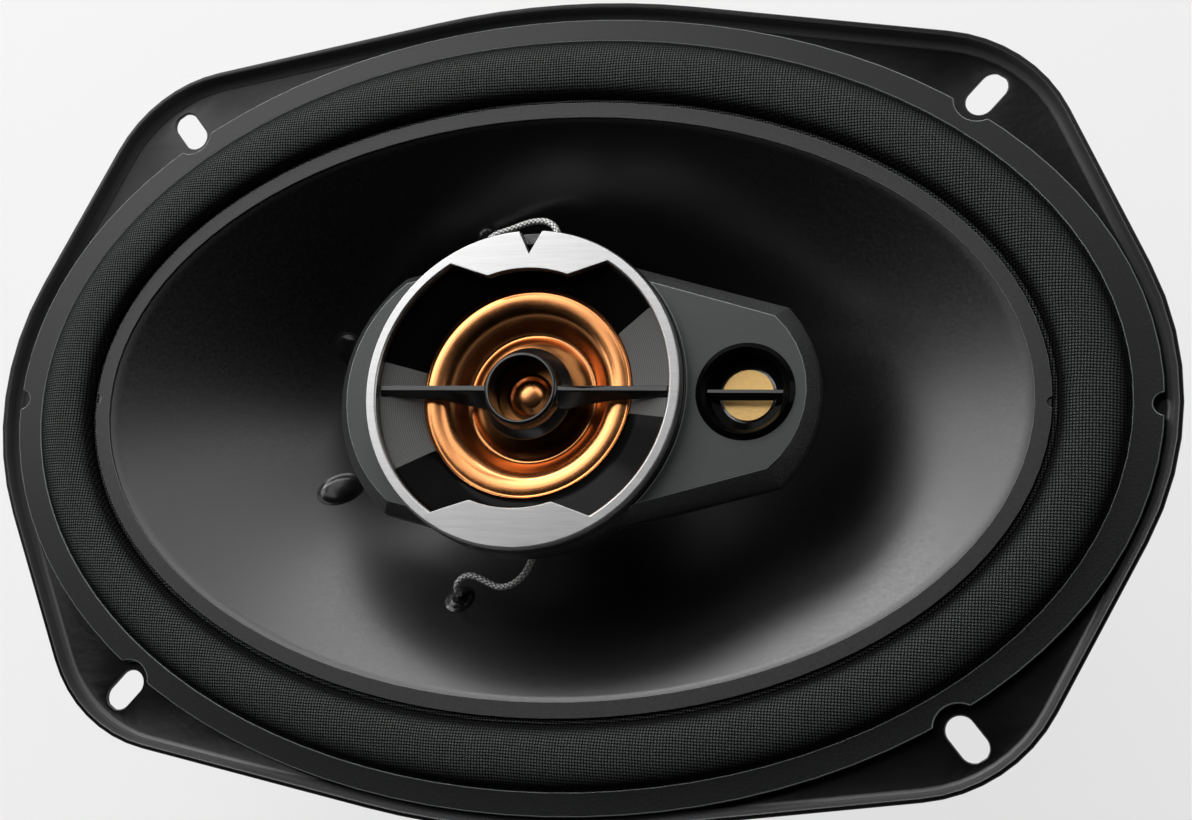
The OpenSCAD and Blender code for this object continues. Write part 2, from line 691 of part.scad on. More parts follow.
module front_plate() {
    color([0.5, 0.5, 0.52]) difference() {
        turned([[gap_r, front_plate_z], [plate_r, front_plate_z], [plate_r, motor_z - 0.6],
                [plate_r - 0.6, motor_z], [gap_r, motor_z]]);
        at_rivets() translate([0, 0, motor_z - rivet_depth])
            cylinder(r = rivet_r, h = rivet_depth + 1, $fn = 32);
    }
}

module magnet() {
    chamfer = 0.8;
    in_r = gap_r + 6;
    color([0.1, 0.1, 0.11]) turned([[in_r, magnet_z], [magnet_r - chamfer, magnet_z],
        [magnet_r, magnet_z + chamfer], [magnet_r, front_plate_z - chamfer],
        [magnet_r - chamfer, front_plate_z], [in_r, front_plate_z]]);
}

module yoke() {
    bore = screw_r + screw_clear;
    head_room = screw_head_r + screw_clear;
    recess_z = back_z + screw_head_h + 0.4;
    color([0.5, 0.5, 0.52]) turned([[head_room, back_z], [plate_r - 1.5, back_z], [plate_r, back_z + 1.5],
        [plate_r, magnet_z], [pole_r, magnet_z], [pole_r, motor_z], [bore, motor_z],
        [bore, recess_z], [head_room, recess_z]]);
}

module frame_rivets() {
    color([0.6, 0.6, 0.6]) at_rivets() turned([[0, motor_z - rivet_depth], [rivet_r, motor_z - rivet_depth],
        [rivet_r, motor_z + sheet], [rivet_head_r, motor_z + sheet],
        [rivet_head_r * 0.7, motor_z + sheet + rivet_head_h], [0, motor_z + sheet + rivet_head_h]]);
}

// ---- terminals ----

board_top_z = tab_z;
blade_t = 0.8;
blade_y = board_w / 2 - 6;

module terminal_board() {
    z = board_top_z - board_t;
    color([0.35, 0.2, 0.12]) difference() {
        translate([-board_x - board_l, -board_w / 2, z]) cube([board_l, board_w, board_t]);
        translate([-board_rivet_x, 0, z - 1]) cylinder(r = rivet_r, h = board_t + 2, $fn = 32);
        for (side = [-1, 1]) translate([-board_x - 5, side * blade_y, z - 1])
            cylinder(r = lug_pin_r, h = board_t + 2, $fn = 24);
    }
}

lug_pin_r = 1;

module terminal_rivet() {
    low = board_top_z - board_t;
    high = board_top_z + sheet;
    color([0.7, 0.7, 0.7]) translate([-board_rivet_x, 0, 0]) turned([
        [0, low - 1], [board_rivet_head_r, low - 1], [board_rivet_head_r, low],
        [rivet_r, low], [rivet_r, high], [board_rivet_head_r, high],
        [board_rivet_head_r * 0.7, high + 0.6], [0, high + 0.6]]);
}

// A push-on blade under the board, with its pin and the lug that its lead is soldered to above.
module blade(width, side) {
    low = board_top_z - board_t;
    tip = 1.2;
    x_out = board_x + board_l + blade_l;
    x_in = board_x + 1.5;
    translate([0, side * blade_y, 0]) {
        translate([0, 0, low - blade_t]) linear_extrude(blade_t) polygon([
            [-x_in, -width / 2], [-x_in, width / 2], [tip - x_out, width / 2], [-x_out, width / 2 - tip],
            [-x_out, tip - width / 2], [tip - x_out, -width / 2]]);
        translate([-board_x - 5, 0, low - overlap])
            cylinder(r = lug_pin_r, h = board_t + 2 * overlap, $fn = 24);
        translate([-board_x - 7, -1.6, board_top_z]) cube([4, 3.2, 0.6]);
    }
}

module positive_blade() { color([0.8, 0.78, 0.7]) blade(blade_wide, 1); }

module negative_blade() { color([0.8, 0.78, 0.7]) blade(blade_narrow, -1); }

// ---- bridge ----

module bridge_post() {
    color([0.12, 0.12, 0.12]) tube(post_r, screw_r + screw_clear, motor_z, base_foot_z - motor_z);
}

module bridge_screw() {
    z = back_z + 0.4;
    color([0.6, 0.6, 0.62]) turned([[0, z], [screw_head_r - 0.8, z], [screw_head_r, z + 0.8],
        [screw_head_r, z + screw_head_h], [screw_r, z + screw_head_h],
        [screw_r, base_cup_z - 0.6], [screw_r - 0.6, base_cup_z], [0, base_cup_z]]);
}

// The bridge's outline from above: drum, tapering arm towards +X and rounded heel towards -X.
module bridge_outline(inset) {
    bulge_r = (pow(arm_y - inset, 2) + arm_bulge * arm_bulge) / (2 * arm_bulge);
    bulge_turn = asin((arm_y - inset) / bulge_r);
    heel_bulge = heel_x - heel_shoulder_x;
    heel_r = (pow(heel_shoulder_y, 2) + heel_bulge * heel_bulge) / (2 * heel_bulge);
    heel_turn = asin(heel_shoulder_y / heel_r);
    hull() {
        circle(r = drum_r - 2 - inset, $fn = 64);
        polygon(arc(arm_x + arm_bulge - bulge_r - inset * 0.8, 0, bulge_r, -bulge_turn, bulge_turn, 10));
        polygon(arc(heel_r - heel_x, 0, heel_r - inset, 180 - heel_turn, 180 + heel_turn, 16));
    }
}

module bridge_housing() {
    shoulder_z = face_z - bevel_h;
    roof_z = face_z - housing_wall;
    color([0.16, 0.165, 0.17]) difference() {
        union() {
            hull() {
                translate([0, 0, housing_z]) linear_extrude(shoulder_z - housing_z) bridge_outline(0);
                translate([0, 0, face_z - 0.02]) linear_extrude(0.02) bridge_outline(bevel_w);
            }
            turned([[0, housing_z], [drum_r, housing_z], [drum_r, trim_base_z - 1.4],
                    [drum_r - 0.3, trim_base_z], [0, trim_base_z]]);
        }
        translate([0, 0, housing_z - 1]) cylinder(r = bore_r, h = 20, $fn = round_fn);
        translate([super_x, 0, housing_z - 1]) cylinder(r = cup_r - 0.9, h = 20, $fn = round_fn);
        arm_cavity(roof_z);
        for (p = base_screw_places) translate([p[0], p[1], housing_z - 1])
            cylinder(r = base_screw_r, h = 1 + base_screw_depth, $fn = 24);
        trim_notch(trim_base_z - 1.6, 3);
    }
}

// The hollow inside the arm, clear of the drum's wall, the super tweeter's well and the screw bosses.
module arm_cavity(roof_z) {
    difference() {
        translate([0, 0, housing_z - 1]) linear_extrude(roof_z - housing_z + 1) intersection() {
            bridge_outline(bevel_w + housing_wall * 0.6);
            translate([drum_r + 1, -arm_y]) square([arm_x, 2 * arm_y]);
        }
        translate([super_x, 0, housing_z - 2]) cylinder(r = cup_r + 0.6, h = 20, $fn = 64);
        for (p = base_screw_places) translate([p[0], p[1], housing_z - 2])
            cylinder(r = screw_boss_r, h = 20, $fn = 32);
    }
}

// The moulding under the housing: a plate of its outline, the tweeter's cup and the foot on the post.
module bridge_base() {
    wall = 2.4;
    color([0.1, 0.1, 0.105]) difference() {
        union() {
            translate([0, 0, base_z]) linear_extrude(base_t) bridge_outline(0.3);
            turned([[0, base_foot_z], [base_foot_r - 0.8, base_foot_z], [base_foot_r, base_foot_z + 0.8],
                    [base_foot_r + 1.5, base_cup_z - 1.5], [base_cup_r - 2, base_cup_z],
                    [base_cup_r, base_cup_z + 2], [base_cup_r + 2.5, base_z + overlap],
                    [drum_r - 0.5, base_z + overlap], [drum_r - 0.5, housing_z], [0, housing_z]]);
        }
        translate([0, 0, yoke_floor_z])
            cylinder(r = yoke_r + 0.2, h = housing_z - yoke_floor_z + 1, $fn = round_fn);
        translate([0, 0, base_cup_z])
            cylinder(r = base_wire_well_r, h = yoke_floor_z - base_cup_z + 1, $fn = 48);
        translate([0, 0, base_foot_z - 1]) cylinder(r = screw_r, h = base_cup_z - base_foot_z + 2, $fn = 32);
        for (p = base_screw_places) translate([p[0], p[1], base_z - 1])
            cylinder(r = base_screw_r, h = base_t + 2, $fn = 24);
    }
}

module base_screws() {
    color([0.6, 0.6, 0.62]) for (p = base_screw_places) translate([p[0], p[1], 0]) turned([
        [0, base_z - base_screw_head_h], [base_screw_head_r * 0.8, base_z - base_screw_head_h],
        [base_screw_head_r, base_z], [base_screw_r, base_z],
        [base_screw_r, housing_z + base_screw_depth - base_screw_end], [0, housing_z + base_screw_depth]]);
}

// ---- tweeter ----

// The V that is cut into the trim ring's upper edge and a little way into the drum below it.
module trim_notch(z, h) {
    top = trim_r + 2;
    half = notch_w / 2 * (notch_depth + 2) / notch_depth;
    translate([0, 0, z]) linear_extrude(h)
        polygon([[0, trim_r - notch_depth], [half, top], [-half, top]]);
}

module trim_ring() {
    edge = 0.6;
    color([0.78, 0.79, 0.8]) difference() {
        union() {
            turned([[trim_in_r, trim_base_z], [trim_r + 0.3, trim_base_z], [trim_r + 0.3, trim_z - edge],
                    [trim_r, trim_z], [trim_in_r + 0.3, trim_z], [trim_in_r, trim_z - 0.3]]);
            for (turn = [90, -90]) translate([0, 0, trim_base_z]) linear_extrude(trim_t) polygon(concat(
                arc(0, 0, pad_r, turn - pad_in_turn, turn + pad_in_turn, 8),
                arc(0, 0, trim_in_r + 0.5, turn + pad_out_turn, turn - pad_out_turn, 8)));
        }
        trim_notch(trim_base_z - 1, trim_t + 2);
    }
}

// The glossy funnel between the trim ring and the diaphragm, standing on the bridge base.
module bezel() {
    out_r = trim_in_r;
    skirt_r = bezel_in_r + 3.6;
    color([0.02, 0.02, 0.02]) difference() {
        turned([[skirt_r, housing_z], [out_r, housing_z], [out_r, bezel_top_z],
            [out_r - 0.5, bezel_top_z], [bezel_in_r + 0.6, dome_z + 0.4], [bezel_in_r, dome_z - 0.1],
            [bezel_in_r, rim_clamp_z], [skirt_r, rim_clamp_z]]);
        translate([-bar_reach - 0.1, -bar_t / 2 - bar_foot_w - 0.1, bar_low_z])
            cube([2 * bar_reach + 0.2, bar_t + bar_foot_w + 0.2, 10]);
    }
}

module diaphragm_rim() {
    color([0.7, 0.42, 0.2]) tube(bezel_in_r + 3.4, bezel_in_r, rim_clamp_z - 0.6, 0.6);
}

// Balanced dome: a dome inside the coil, and outside it a ring that climbs steeply and ends almost flat.
function dome_line() = let (inner = tweeter_coil_r - 0.6, outer = tweeter_coil_r + 0.6) concat(
    [for (i = [0:8]) let (x = i / 8) [inner * x, dome_top_z + (dome_valley_z - dome_top_z) * x * x]],
    [for (i = [0:8]) let (x = i / 8)
        [outer + (dome_r - outer) * x, dome_valley_z + dome_depth * (1 - pow(1 - x, 2.2))]]);

module tweeter_diaphragm() {
    line = dome_line();
    n = len(line);
    color([0.85, 0.5, 0.22]) turned(concat(
        [for (i = [0:n - 1]) line[i] - [0, dome_t]],
        [for (i = [n - 1:-1:0]) line[i]]));
}

module tweeter_coil() {
    top = dome_valley_z - dome_t;
    low = top - tweeter_former_h;
    color([0.72, 0.4, 0.18]) turned([
        [tweeter_coil_r, low], [tweeter_coil_r + tweeter_former_t + tweeter_winding_t, low],
        [tweeter_coil_r + tweeter_former_t + tweeter_winding_t, low + tweeter_winding_h],
        [tweeter_coil_r + tweeter_former_t, low + tweeter_winding_h],
        [tweeter_coil_r + tweeter_former_t, top], [tweeter_coil_r, top]]);
}

tweeter_pole_r = tweeter_coil_r - tweeter_gap;
tweeter_cup_in_r = tweeter_coil_r + tweeter_former_t + tweeter_winding_t + tweeter_gap;
tweeter_magnet_z = yoke_floor_z + yoke_floor_t;

module tweeter_pole() {
    color([0.55, 0.55, 0.57]) translate([0, 0, yoke_top_z - tweeter_pole_h])
        cylinder(r = tweeter_pole_r, h = tweeter_pole_h, $fn = round_fn);
}

module tweeter_magnet() {
    h = yoke_top_z - tweeter_pole_h - tweeter_magnet_z;
    color([0.3, 0.3, 0.32]) translate([0, 0, tweeter_magnet_z])
        cylinder(r = tweeter_pole_r - tweeter_magnet_in, h = h, $fn = round_fn);
}

module tweeter_yoke() {
    color([0.5, 0.5, 0.52]) turned([[0, yoke_floor_z], [yoke_r - 0.5, yoke_floor_z],
        [yoke_r, yoke_floor_z + 0.5], [yoke_r, yoke_top_z],
        [tweeter_cup_in_r, yoke_top_z], [tweeter_cup_in_r, tweeter_magnet_z],
        [0, tweeter_magnet_z]]);
}

// One bar of the guard: stations of [distance from the axis, width of the lower flank, lower height].
module guard_bar(side) {
    stations = [[tube_r - 1, bar_flank_w, bar_low_z - 1.6], [tube_r + 1.5, bar_flank_w, bar_low_z - 1.6],
        [17, bar_foot_w + 0.4, bar_low_z - 1.3], [21.5, bar_foot_w + 0.2, bar_low_z - 0.9],
        [bar_reach - 2, bar_foot_w, bar_low_z], [bar_reach, bar_foot_w, bar_low_z]];
    ordered = [for (i = side > 0 ? [5:-1:0] : [0:5]) stations[i]];
    sweep([for (p = ordered) let (x = side * p[0]) [[x, bar_t / 2, bar_top_z], [x, -bar_t / 2, bar_top_z],
        [x, -bar_t / 2 - p[1], p[2]], [x, bar_t / 2, p[2]]]], false);
}

// The guard: a tube over the dome's middle and a bar that deepens towards it on both sides.
module crossbar() {
    color([0.07, 0.07, 0.072]) difference() {
        union() {
            turned([[0, dome_z - 1.6], [tube_r + 1.6, dome_z - 1.6], [tube_r + 1.9, dome_z - 0.4],
                    [tube_r + 0.2, dome_z + 1.4], [tube_r, tube_top_z - 0.4], [tube_r - 0.4, tube_top_z],
                    [0, tube_top_z]]);
            for (side = [-1, 1]) guard_bar(side);
        }
        translate([0, 0, dome_z - 3]) cylinder(r = tube_r - tube_t, h = 20, $fn = round_fn);
    }
}

// ---- super tweeter ----

module super_tweeter_cup() {
    lip = 0.9;
    shelf_r = disc_r + 0.45;
    color([0.1, 0.1, 0.1]) translate([super_x, 0, 0]) turned([
        [super_yoke_r + 0.2, housing_z], [cup_r - lip, housing_z], [cup_r - lip, face_z], [cup_r, face_z],
        [cup_r - 1, face_z + 0.9], [cup_r - 1.2, face_z + 0.9], [cup_in_r, face_z],
        [cup_in_r - 0.3, disc_z + 0.6], [shelf_r, disc_z + 0.2], [shelf_r, disc_z - 0.6],
        [super_yoke_r + 0.2, disc_z - 0.6]]);
}

module super_tweeter_bar() {
    reach = cup_in_r - 0.2;
    low_reach = cup_in_r * 0.72;
    color([0.09, 0.09, 0.09]) translate([super_x, 0, 0]) sweep([
        for (p = [[reach, 0, 0.4], [low_reach, super_bar_flank_w, super_bar_h],
                  [-low_reach, super_bar_flank_w, super_bar_h], [-reach, 0, 0.4]])
            [[p[0], super_bar_t / 2, face_z], [p[0], -super_bar_t / 2, face_z],
             [p[0], -super_bar_t / 2 - p[1], face_z - p[2]], [p[0], super_bar_t / 2, face_z - p[2]]]], false);
}

module super_tweeter_disc() {
    color([0.9, 0.6, 0.3]) translate([super_x, 0, 0]) turned([[0, disc_z - 0.3], [disc_r, disc_z - 0.3],
        [disc_r, disc_z], [0, disc_z]]);
}

module super_tweeter_coil() {
    color([0.72, 0.4, 0.18]) translate([super_x, 0, 0])
        tube(super_coil_r + super_winding_t, super_coil_r, disc_z - 1.7, 1.4);
}

module super_tweeter_magnet() {
    color([0.3, 0.3, 0.32]) translate([super_x, 0, housing_z + 0.8])
        cylinder(r = super_coil_r - super_gap, h = disc_z - 0.8 - housing_z - 0.8, $fn = 64);
}

module super_tweeter_yoke() {
    color([0.5, 0.5, 0.52]) translate([super_x, 0, 0]) turned([[0, housing_z], [super_yoke_r, housing_z],
        [super_yoke_r, disc_z - 0.8], [super_coil_r + super_winding_t + super_gap, disc_z - 0.8],
        [super_coil_r + super_winding_t + super_gap, housing_z + 0.8], [0, housing_z + 0.8]]);
}

capacitor_r = 1.7;
capacitor_l = 8;

module capacitors() {
    color([0.1, 0.15, 0.35]) for (side = [-1, 1])
        translate([drum_r + 2, side * (arm_y - 4.2), housing_z + capacitor_r]) rotate([0, 90, 0])
            cylinder(r = capacitor_r, h = capacitor_l, $fn = 32);
}

// ---- braided leads from the cone to the bridge ----

module upper_lead() { color([0.72, 0.72, 0.7]) cord(upper_route, lead_r); }

module lower_lead() { color([0.72, 0.72, 0.7]) cord(lower_route, lead_r); }

basket_frame();
gasket();
surround();
cone();
cone_ring();
coil_former();
voice_coil();
spider();
dust_seal();
front_plate();
magnet();
yoke();
frame_rivets();
terminal_board();
terminal_rivet();
positive_blade();
negative_blade();
bridge_post();
bridge_screw();
bridge_base();
base_screws();
bridge_housing();
trim_ring();
bezel();
diaphragm_rim();
tweeter_diaphragm();
tweeter_coil();
tweeter_pole();
tweeter_magnet();
tweeter_yoke();
crossbar();
super_tweeter_cup();
super_tweeter_bar();
super_tweeter_disc();
super_tweeter_coil();
super_tweeter_magnet();
super_tweeter_yoke();
capacitors();
lead_eyelets();
glue_patches();
upper_lead();
lower_lead();
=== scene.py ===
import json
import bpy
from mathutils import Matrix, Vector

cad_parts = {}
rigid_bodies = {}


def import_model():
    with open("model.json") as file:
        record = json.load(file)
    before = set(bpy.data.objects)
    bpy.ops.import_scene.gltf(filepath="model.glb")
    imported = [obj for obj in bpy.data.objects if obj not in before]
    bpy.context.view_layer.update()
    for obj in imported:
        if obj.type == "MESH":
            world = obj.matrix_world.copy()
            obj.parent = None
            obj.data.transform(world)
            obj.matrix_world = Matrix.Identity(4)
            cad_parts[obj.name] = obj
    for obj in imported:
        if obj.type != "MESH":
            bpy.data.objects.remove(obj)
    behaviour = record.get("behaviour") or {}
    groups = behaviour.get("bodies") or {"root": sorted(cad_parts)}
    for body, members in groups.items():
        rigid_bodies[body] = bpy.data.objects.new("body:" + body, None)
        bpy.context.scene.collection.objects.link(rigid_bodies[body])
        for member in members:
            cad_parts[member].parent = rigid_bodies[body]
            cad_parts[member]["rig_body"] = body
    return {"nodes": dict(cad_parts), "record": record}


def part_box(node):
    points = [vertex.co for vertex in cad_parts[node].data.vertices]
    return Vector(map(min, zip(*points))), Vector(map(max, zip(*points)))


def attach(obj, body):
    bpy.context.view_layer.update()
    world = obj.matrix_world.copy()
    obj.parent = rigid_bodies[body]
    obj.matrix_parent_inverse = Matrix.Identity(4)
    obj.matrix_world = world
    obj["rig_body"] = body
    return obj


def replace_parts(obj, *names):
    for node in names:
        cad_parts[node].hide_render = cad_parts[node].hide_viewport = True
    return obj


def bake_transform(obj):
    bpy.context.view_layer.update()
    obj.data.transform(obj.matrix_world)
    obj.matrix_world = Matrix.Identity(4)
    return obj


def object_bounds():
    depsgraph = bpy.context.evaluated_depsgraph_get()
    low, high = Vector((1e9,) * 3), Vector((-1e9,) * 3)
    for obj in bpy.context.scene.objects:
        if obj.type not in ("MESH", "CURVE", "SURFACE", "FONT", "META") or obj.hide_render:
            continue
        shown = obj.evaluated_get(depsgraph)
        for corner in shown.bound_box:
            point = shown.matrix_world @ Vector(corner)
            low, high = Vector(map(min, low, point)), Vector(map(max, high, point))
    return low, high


bl_info = {
    "name": "Coaxial car speaker",
    "version": (1, 0, 0),
    "blender": (4, 5, 0),
    "location": "3D View > Sidebar > Speaker",
    "description": "Dresses the solids of an oval coaxial car speaker and stands them in a studio",
    "category": "Object",
}

from math import atan2, cos, pi, radians, sin

import bmesh
import bpy
from bpy.props import FloatProperty, FloatVectorProperty, IntProperty, PointerProperty
from mathutils import Matrix, Vector

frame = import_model()
CAD_BOX = [list(corner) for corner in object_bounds()]
MM = 0.001
SLOT_OF = {part["node"]: part["material_slot"] for part in frame["record"]["subparts"]}

GASKET_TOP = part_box("gasket")[1]
RING_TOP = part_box("cone_ring")[1]
CONE_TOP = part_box("cone")[1]
FORMER_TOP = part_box("coil_former")[1]
BEZEL_LOW, BEZEL_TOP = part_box("bezel")
DOME_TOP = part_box("tweeter_diaphragm")[1]

# The two braided leads, from their eyelets on the cone to the underside of the bridge.
UPPER_ROUTE = [
    (-0.0168, 0.0364, -0.0096), (-0.0166, 0.0361, -0.0085), (-0.0159, 0.0365, -0.0073),
    (-0.0146, 0.0373, -0.0067), (-0.0127, 0.0379, -0.0064), (-0.0107, 0.0382, -0.0057),
    (-0.0086, 0.0386, -0.0049), (-0.0065, 0.0389, -0.0041), (-0.0045, 0.0389, -0.0034),
    (-0.0027, 0.0386, -0.0028), (-0.0012, 0.0378, -0.0023), (-0.0001, 0.0366, -0.0019),
    (0.0006, 0.035, -0.0016), (0.001, 0.0331, -0.0012), (0.0013, 0.0311, -0.0007),
    (0.0014, 0.0291, 0), (0.0014, 0.0272, 0.0009), (0.0015, 0.0261, 0.002),
    (0.0015, 0.0258, 0.00325),
]
LOWER_ROUTE = [
    (-0.0168, -0.0364, -0.0096), (-0.0169, -0.0358, -0.0084), (-0.0166, -0.0348, -0.0073),
    (-0.0156, -0.0338, -0.0066), (-0.0142, -0.0332, -0.0062), (-0.0126, -0.0333, -0.006),
    (-0.011, -0.0339, -0.0059), (-0.0094, -0.0346, -0.0058), (-0.0078, -0.0352, -0.0056),
    (-0.0062, -0.0353, -0.0052), (-0.0045, -0.0349, -0.0046), (-0.0029, -0.034, -0.004),
    (-0.0015, -0.0327, -0.0033), (-0.0004, -0.0311, -0.0025), (0.0005, -0.0294, -0.0015),
    (0.0011, -0.0278, -0.0003), (0.0014, -0.0266, 0.001), (0.0015, -0.026, 0.0022),
    (0.0015, -0.0258, 0.00325),
]

# Thicknesses, and the clearances that soft pieces keep from their neighbours.
GASKET_THICK, CONE_THICK, DOME_THICK, SPIDER_THICK = 0.002, 0.0006, 0.0002, 0.0005
SOFT_GAP, GLUE_LINE = 0.00015, 0.00008

# The height of the spider's waves, and the widths of its flat collar and its flat rim.
SPIDER_WAVE, SPIDER_COLLAR, SPIDER_RIM = 0.0013, 0.0025, 0.0055

# The glue's drops: the share of the way down the cone, the turn from the X axis in degrees, and the
# half sizes.
EYELET_DROP = (0.45, 107, (0.0026, 0.0036, 0.0012))
PATCH_DROP = (0.54, 155, (0.0031, 0.0050, 0.0007))

# The middle of the gasket's relief at the upper left slot; the lower one mirrors it.
RELIEF_PLACE = (-0.08158, 0.05854)

# The dome's radius and its height over its rim in millimetres, from the clamped edge to the middle:
# the half roll, the lip, the wide outer bowl, the coil's ring, the inner cap and its bead.
DOME_LINE = [
    (20.76, -0.6), (20.74, -0.2), (20.66, 0.1), (20.5, 0.2), (20.34, 0.1), (20.2, -0.12),
    (20.0, -0.16), (19.7, -0.08), (19.2, -0.03), (18.6, -0.03), (17.9, -0.1), (17.2, -0.26),
    (16.6, -0.52), (16.1, -0.86), (15.6, -1.3), (15.1, -1.85), (14.6, -2.45), (14.1, -3.05),
    (13.6, -3.6), (13.1, -4.1), (12.7, -4.36), (12.3, -4.36), (11.9, -4.15), (11.3, -3.8),
    (10.5, -3.4), (9.4, -3.05), (8.2, -2.85), (7, -2.85), (5.8, -3.0), (4.8, -3.15),
    (4.2, -3.15), (3.9, -2.95), (3.5, -2.55), (2.9, -2.1), (2.1, -1.8), (1.1, -1.62),
    (0, -1.56),
]

# The dome's radius, the radius at which its film is held, and the width over which it comes free.
DOME_RADIUS, DOME_HELD, DOME_FREEING = 0.02, 0.02075, 0.0006

# The bezel's painted reflection lies in sectors between these slopes of y over x, on either side of the
# axis.
SATIN_GLINT_SECTOR = (-0.19, 0.66)

# The bridge cover's level face and the drum that stands above it, over the bezel's foot.
COVER_FACE, COVER_DRUM = 0.00592, 0.0062

# The distance between the turns of the coils' wire, and between the crimps of a capacitor's sleeve.
WIRE_PITCH, CRIMP_PITCH = 0.0003, 0.002

# The softboxes: name, strength, place and size.
SOFTBOXES = (
    ("Key softbox", "key", (-0.285, 0.30, 0.62), (0.4, 0.3)),
    ("Corner softbox", "corner", (-0.42, 0.38, 0.45), (0.55, 0.4)),
    ("Back softbox", "back", (-0.12, 0.80, 0.36), (0.5, 0.2)),
    ("Back corner softbox", "back", (-0.47, 0.60, 0.38), (0.4, 0.22)),
    ("Side softbox", "side", (-0.90, 0.15, 0.45), (0.5, 0.3)),
    ("Far side softbox", "side", (0.95, 0.22, 0.33), (0.5, 0.26)),
    ("Fill softbox", "fill", (0.20, 0.45, 0.80), (0.5, 0.35)),
    ("Low fill softbox", "fill", (0.10, 0.66, 0.55), (0.35, 0.25)),
)


# ---- what a user would change ----


def length(name, description, mm, low=0.0, high=1000.0):
    return FloatProperty(
        name=name, description=description, default=mm * MM, min=low * MM, max=high * MM,
        unit="LENGTH", subtype="DISTANCE", precision=5,
    )


def colour(name, description, *rgb):
    return FloatVectorProperty(
        name=name, description=description, default=rgb, size=3, min=0.0, max=1.0, subtype="COLOR"
    )


def radiance(name, description, default):
    return FloatProperty(name=name, description=description, default=default, min=0, max=50)


class SpeakerSizes(bpy.types.PropertyGroup):
    roll_height: length("Roll height", "Height of the surround's half roll", 4.6, 2, 7)
    bead_width: length("Bead width", "Width of the bead between the roll and the cone", 1.3, 0.6, 2)
    cloth: length("Cloth", "Thickness of the surround's cloth", 0.5, 0.2, 1)
    thread: length("Thread", "Distance between threads of the surround's cloth", 0.56, 0.2, 2)
    spider_thread: length("Spider thread", "Distance between the spider's threads", 0.5, 0.2, 2)
    spider_waves: IntProperty(
        name="Spider waves", description="Number of corrugations of the spider", default=5, min=3, max=9
    )
    groove: length("Groove", "Distance between the turned grooves of the bezel", 0.4, 0.1, 1)
    brush: length("Brush line", "Width of one brush line on the trim ring", 0.14, 0.02, 1)
    braid: length("Braid", "Length of one crossing of the leads' braid", 1.1, 0.4, 3)
    lead: length("Lead", "Diameter of a lead", 1.3, 0.5, 2)
    relief: length("Relief", "Radius of the gasket's reliefs round the slots", 4.4, 3, 6)
    edge: length("Edge", "Radius of the small rounding on hard edges", 0.16, 0.0, 0.5)


class SpeakerColours(bpy.types.PropertyGroup):
    paint: colour("Basket paint", "Satin black paint of the pressed basket", 0.003, 0.003, 0.0031)
    gasket: colour("Gasket", "Dark grey foam of the gasket", 0.008, 0.0087, 0.0085)
    cloth: colour("Surround cloth", "Black woven cloth of the surround", 0.012, 0.0135, 0.0125)
    cone: colour("Cone", "Graphite polymer of the cone", 0.0015, 0.0015, 0.0016)
    ring: colour("Cone ring", "Satin grey lip round the cone", 0.052, 0.052, 0.0525)
    housing: colour("Housing", "Dark grey moulding of the bridge", 0.062, 0.066, 0.065)
    trim: colour("Trim", "Brushed aluminium of the trim ring", 0.62, 0.62, 0.62)
    film: colour("Tweeter film", "Copper-gold film of the tweeter's diaphragm", 0.92, 0.38, 0.14)
    disc: colour("Disc", "Matt pale copper of the super tweeter", 1.0, 0.64, 0.25)
    braid: colour("Braid", "Tinned copper braid of the leads", 0.74, 0.74, 0.73)
    spider: colour("Spider", "Resin-dipped cloth of the spider", 0.46, 0.36, 0.16)
    plate: colour("Plated steel", "Zinc-plated steel of the motor", 0.55, 0.56, 0.58)
    ferrite: colour("Ferrite", "Sintered ferrite of the magnet", 0.03, 0.03, 0.032)
    board: colour("Board", "Brown phenolic board of the terminals", 0.17, 0.07, 0.025)


class SpeakerStudio(bpy.types.PropertyGroup):
    camera_place: FloatVectorProperty(
        name="Camera", description="Place of the camera", default=(0.12125, -0.09349, 0.38064), size=3,
        subtype="TRANSLATION", unit="LENGTH",
    )
    camera_turn: FloatVectorProperty(
        name="Camera turn", description="Turn of the camera about X, Y and Z",
        default=(radians(14.655), radians(20.179), radians(5.446)), size=3, subtype="EULER",
    )
    lens: FloatProperty(
        name="Lens", description="Focal length in millimetres", default=63.35, min=20, max=200
    )
    shift: FloatVectorProperty(
        name="Shift", description="Sideways and upward shift of the lens", default=(0.160, 0.0), size=2
    )
    floor_width: length("Floor width", "Width of the round floor", 8000, 1000, 20000)
    key: radiance("Key", "Radiance of the softbox high behind the speaker", 2.0)
    corner: radiance("Corner", "Radiance of the softbox at the corner", 2.2)
    back: radiance("Back", "Radiance of the low softboxes behind", 4.5)
    side: radiance("Side", "Radiance of the low softboxes at the sides", 2.0)
    fill: radiance("Fill", "Radiance of the softboxes on the other side", 1.4)
    ambient: radiance("Ambient", "Radiance of the room all round", 0.06)


# ---- how finishes are made ----


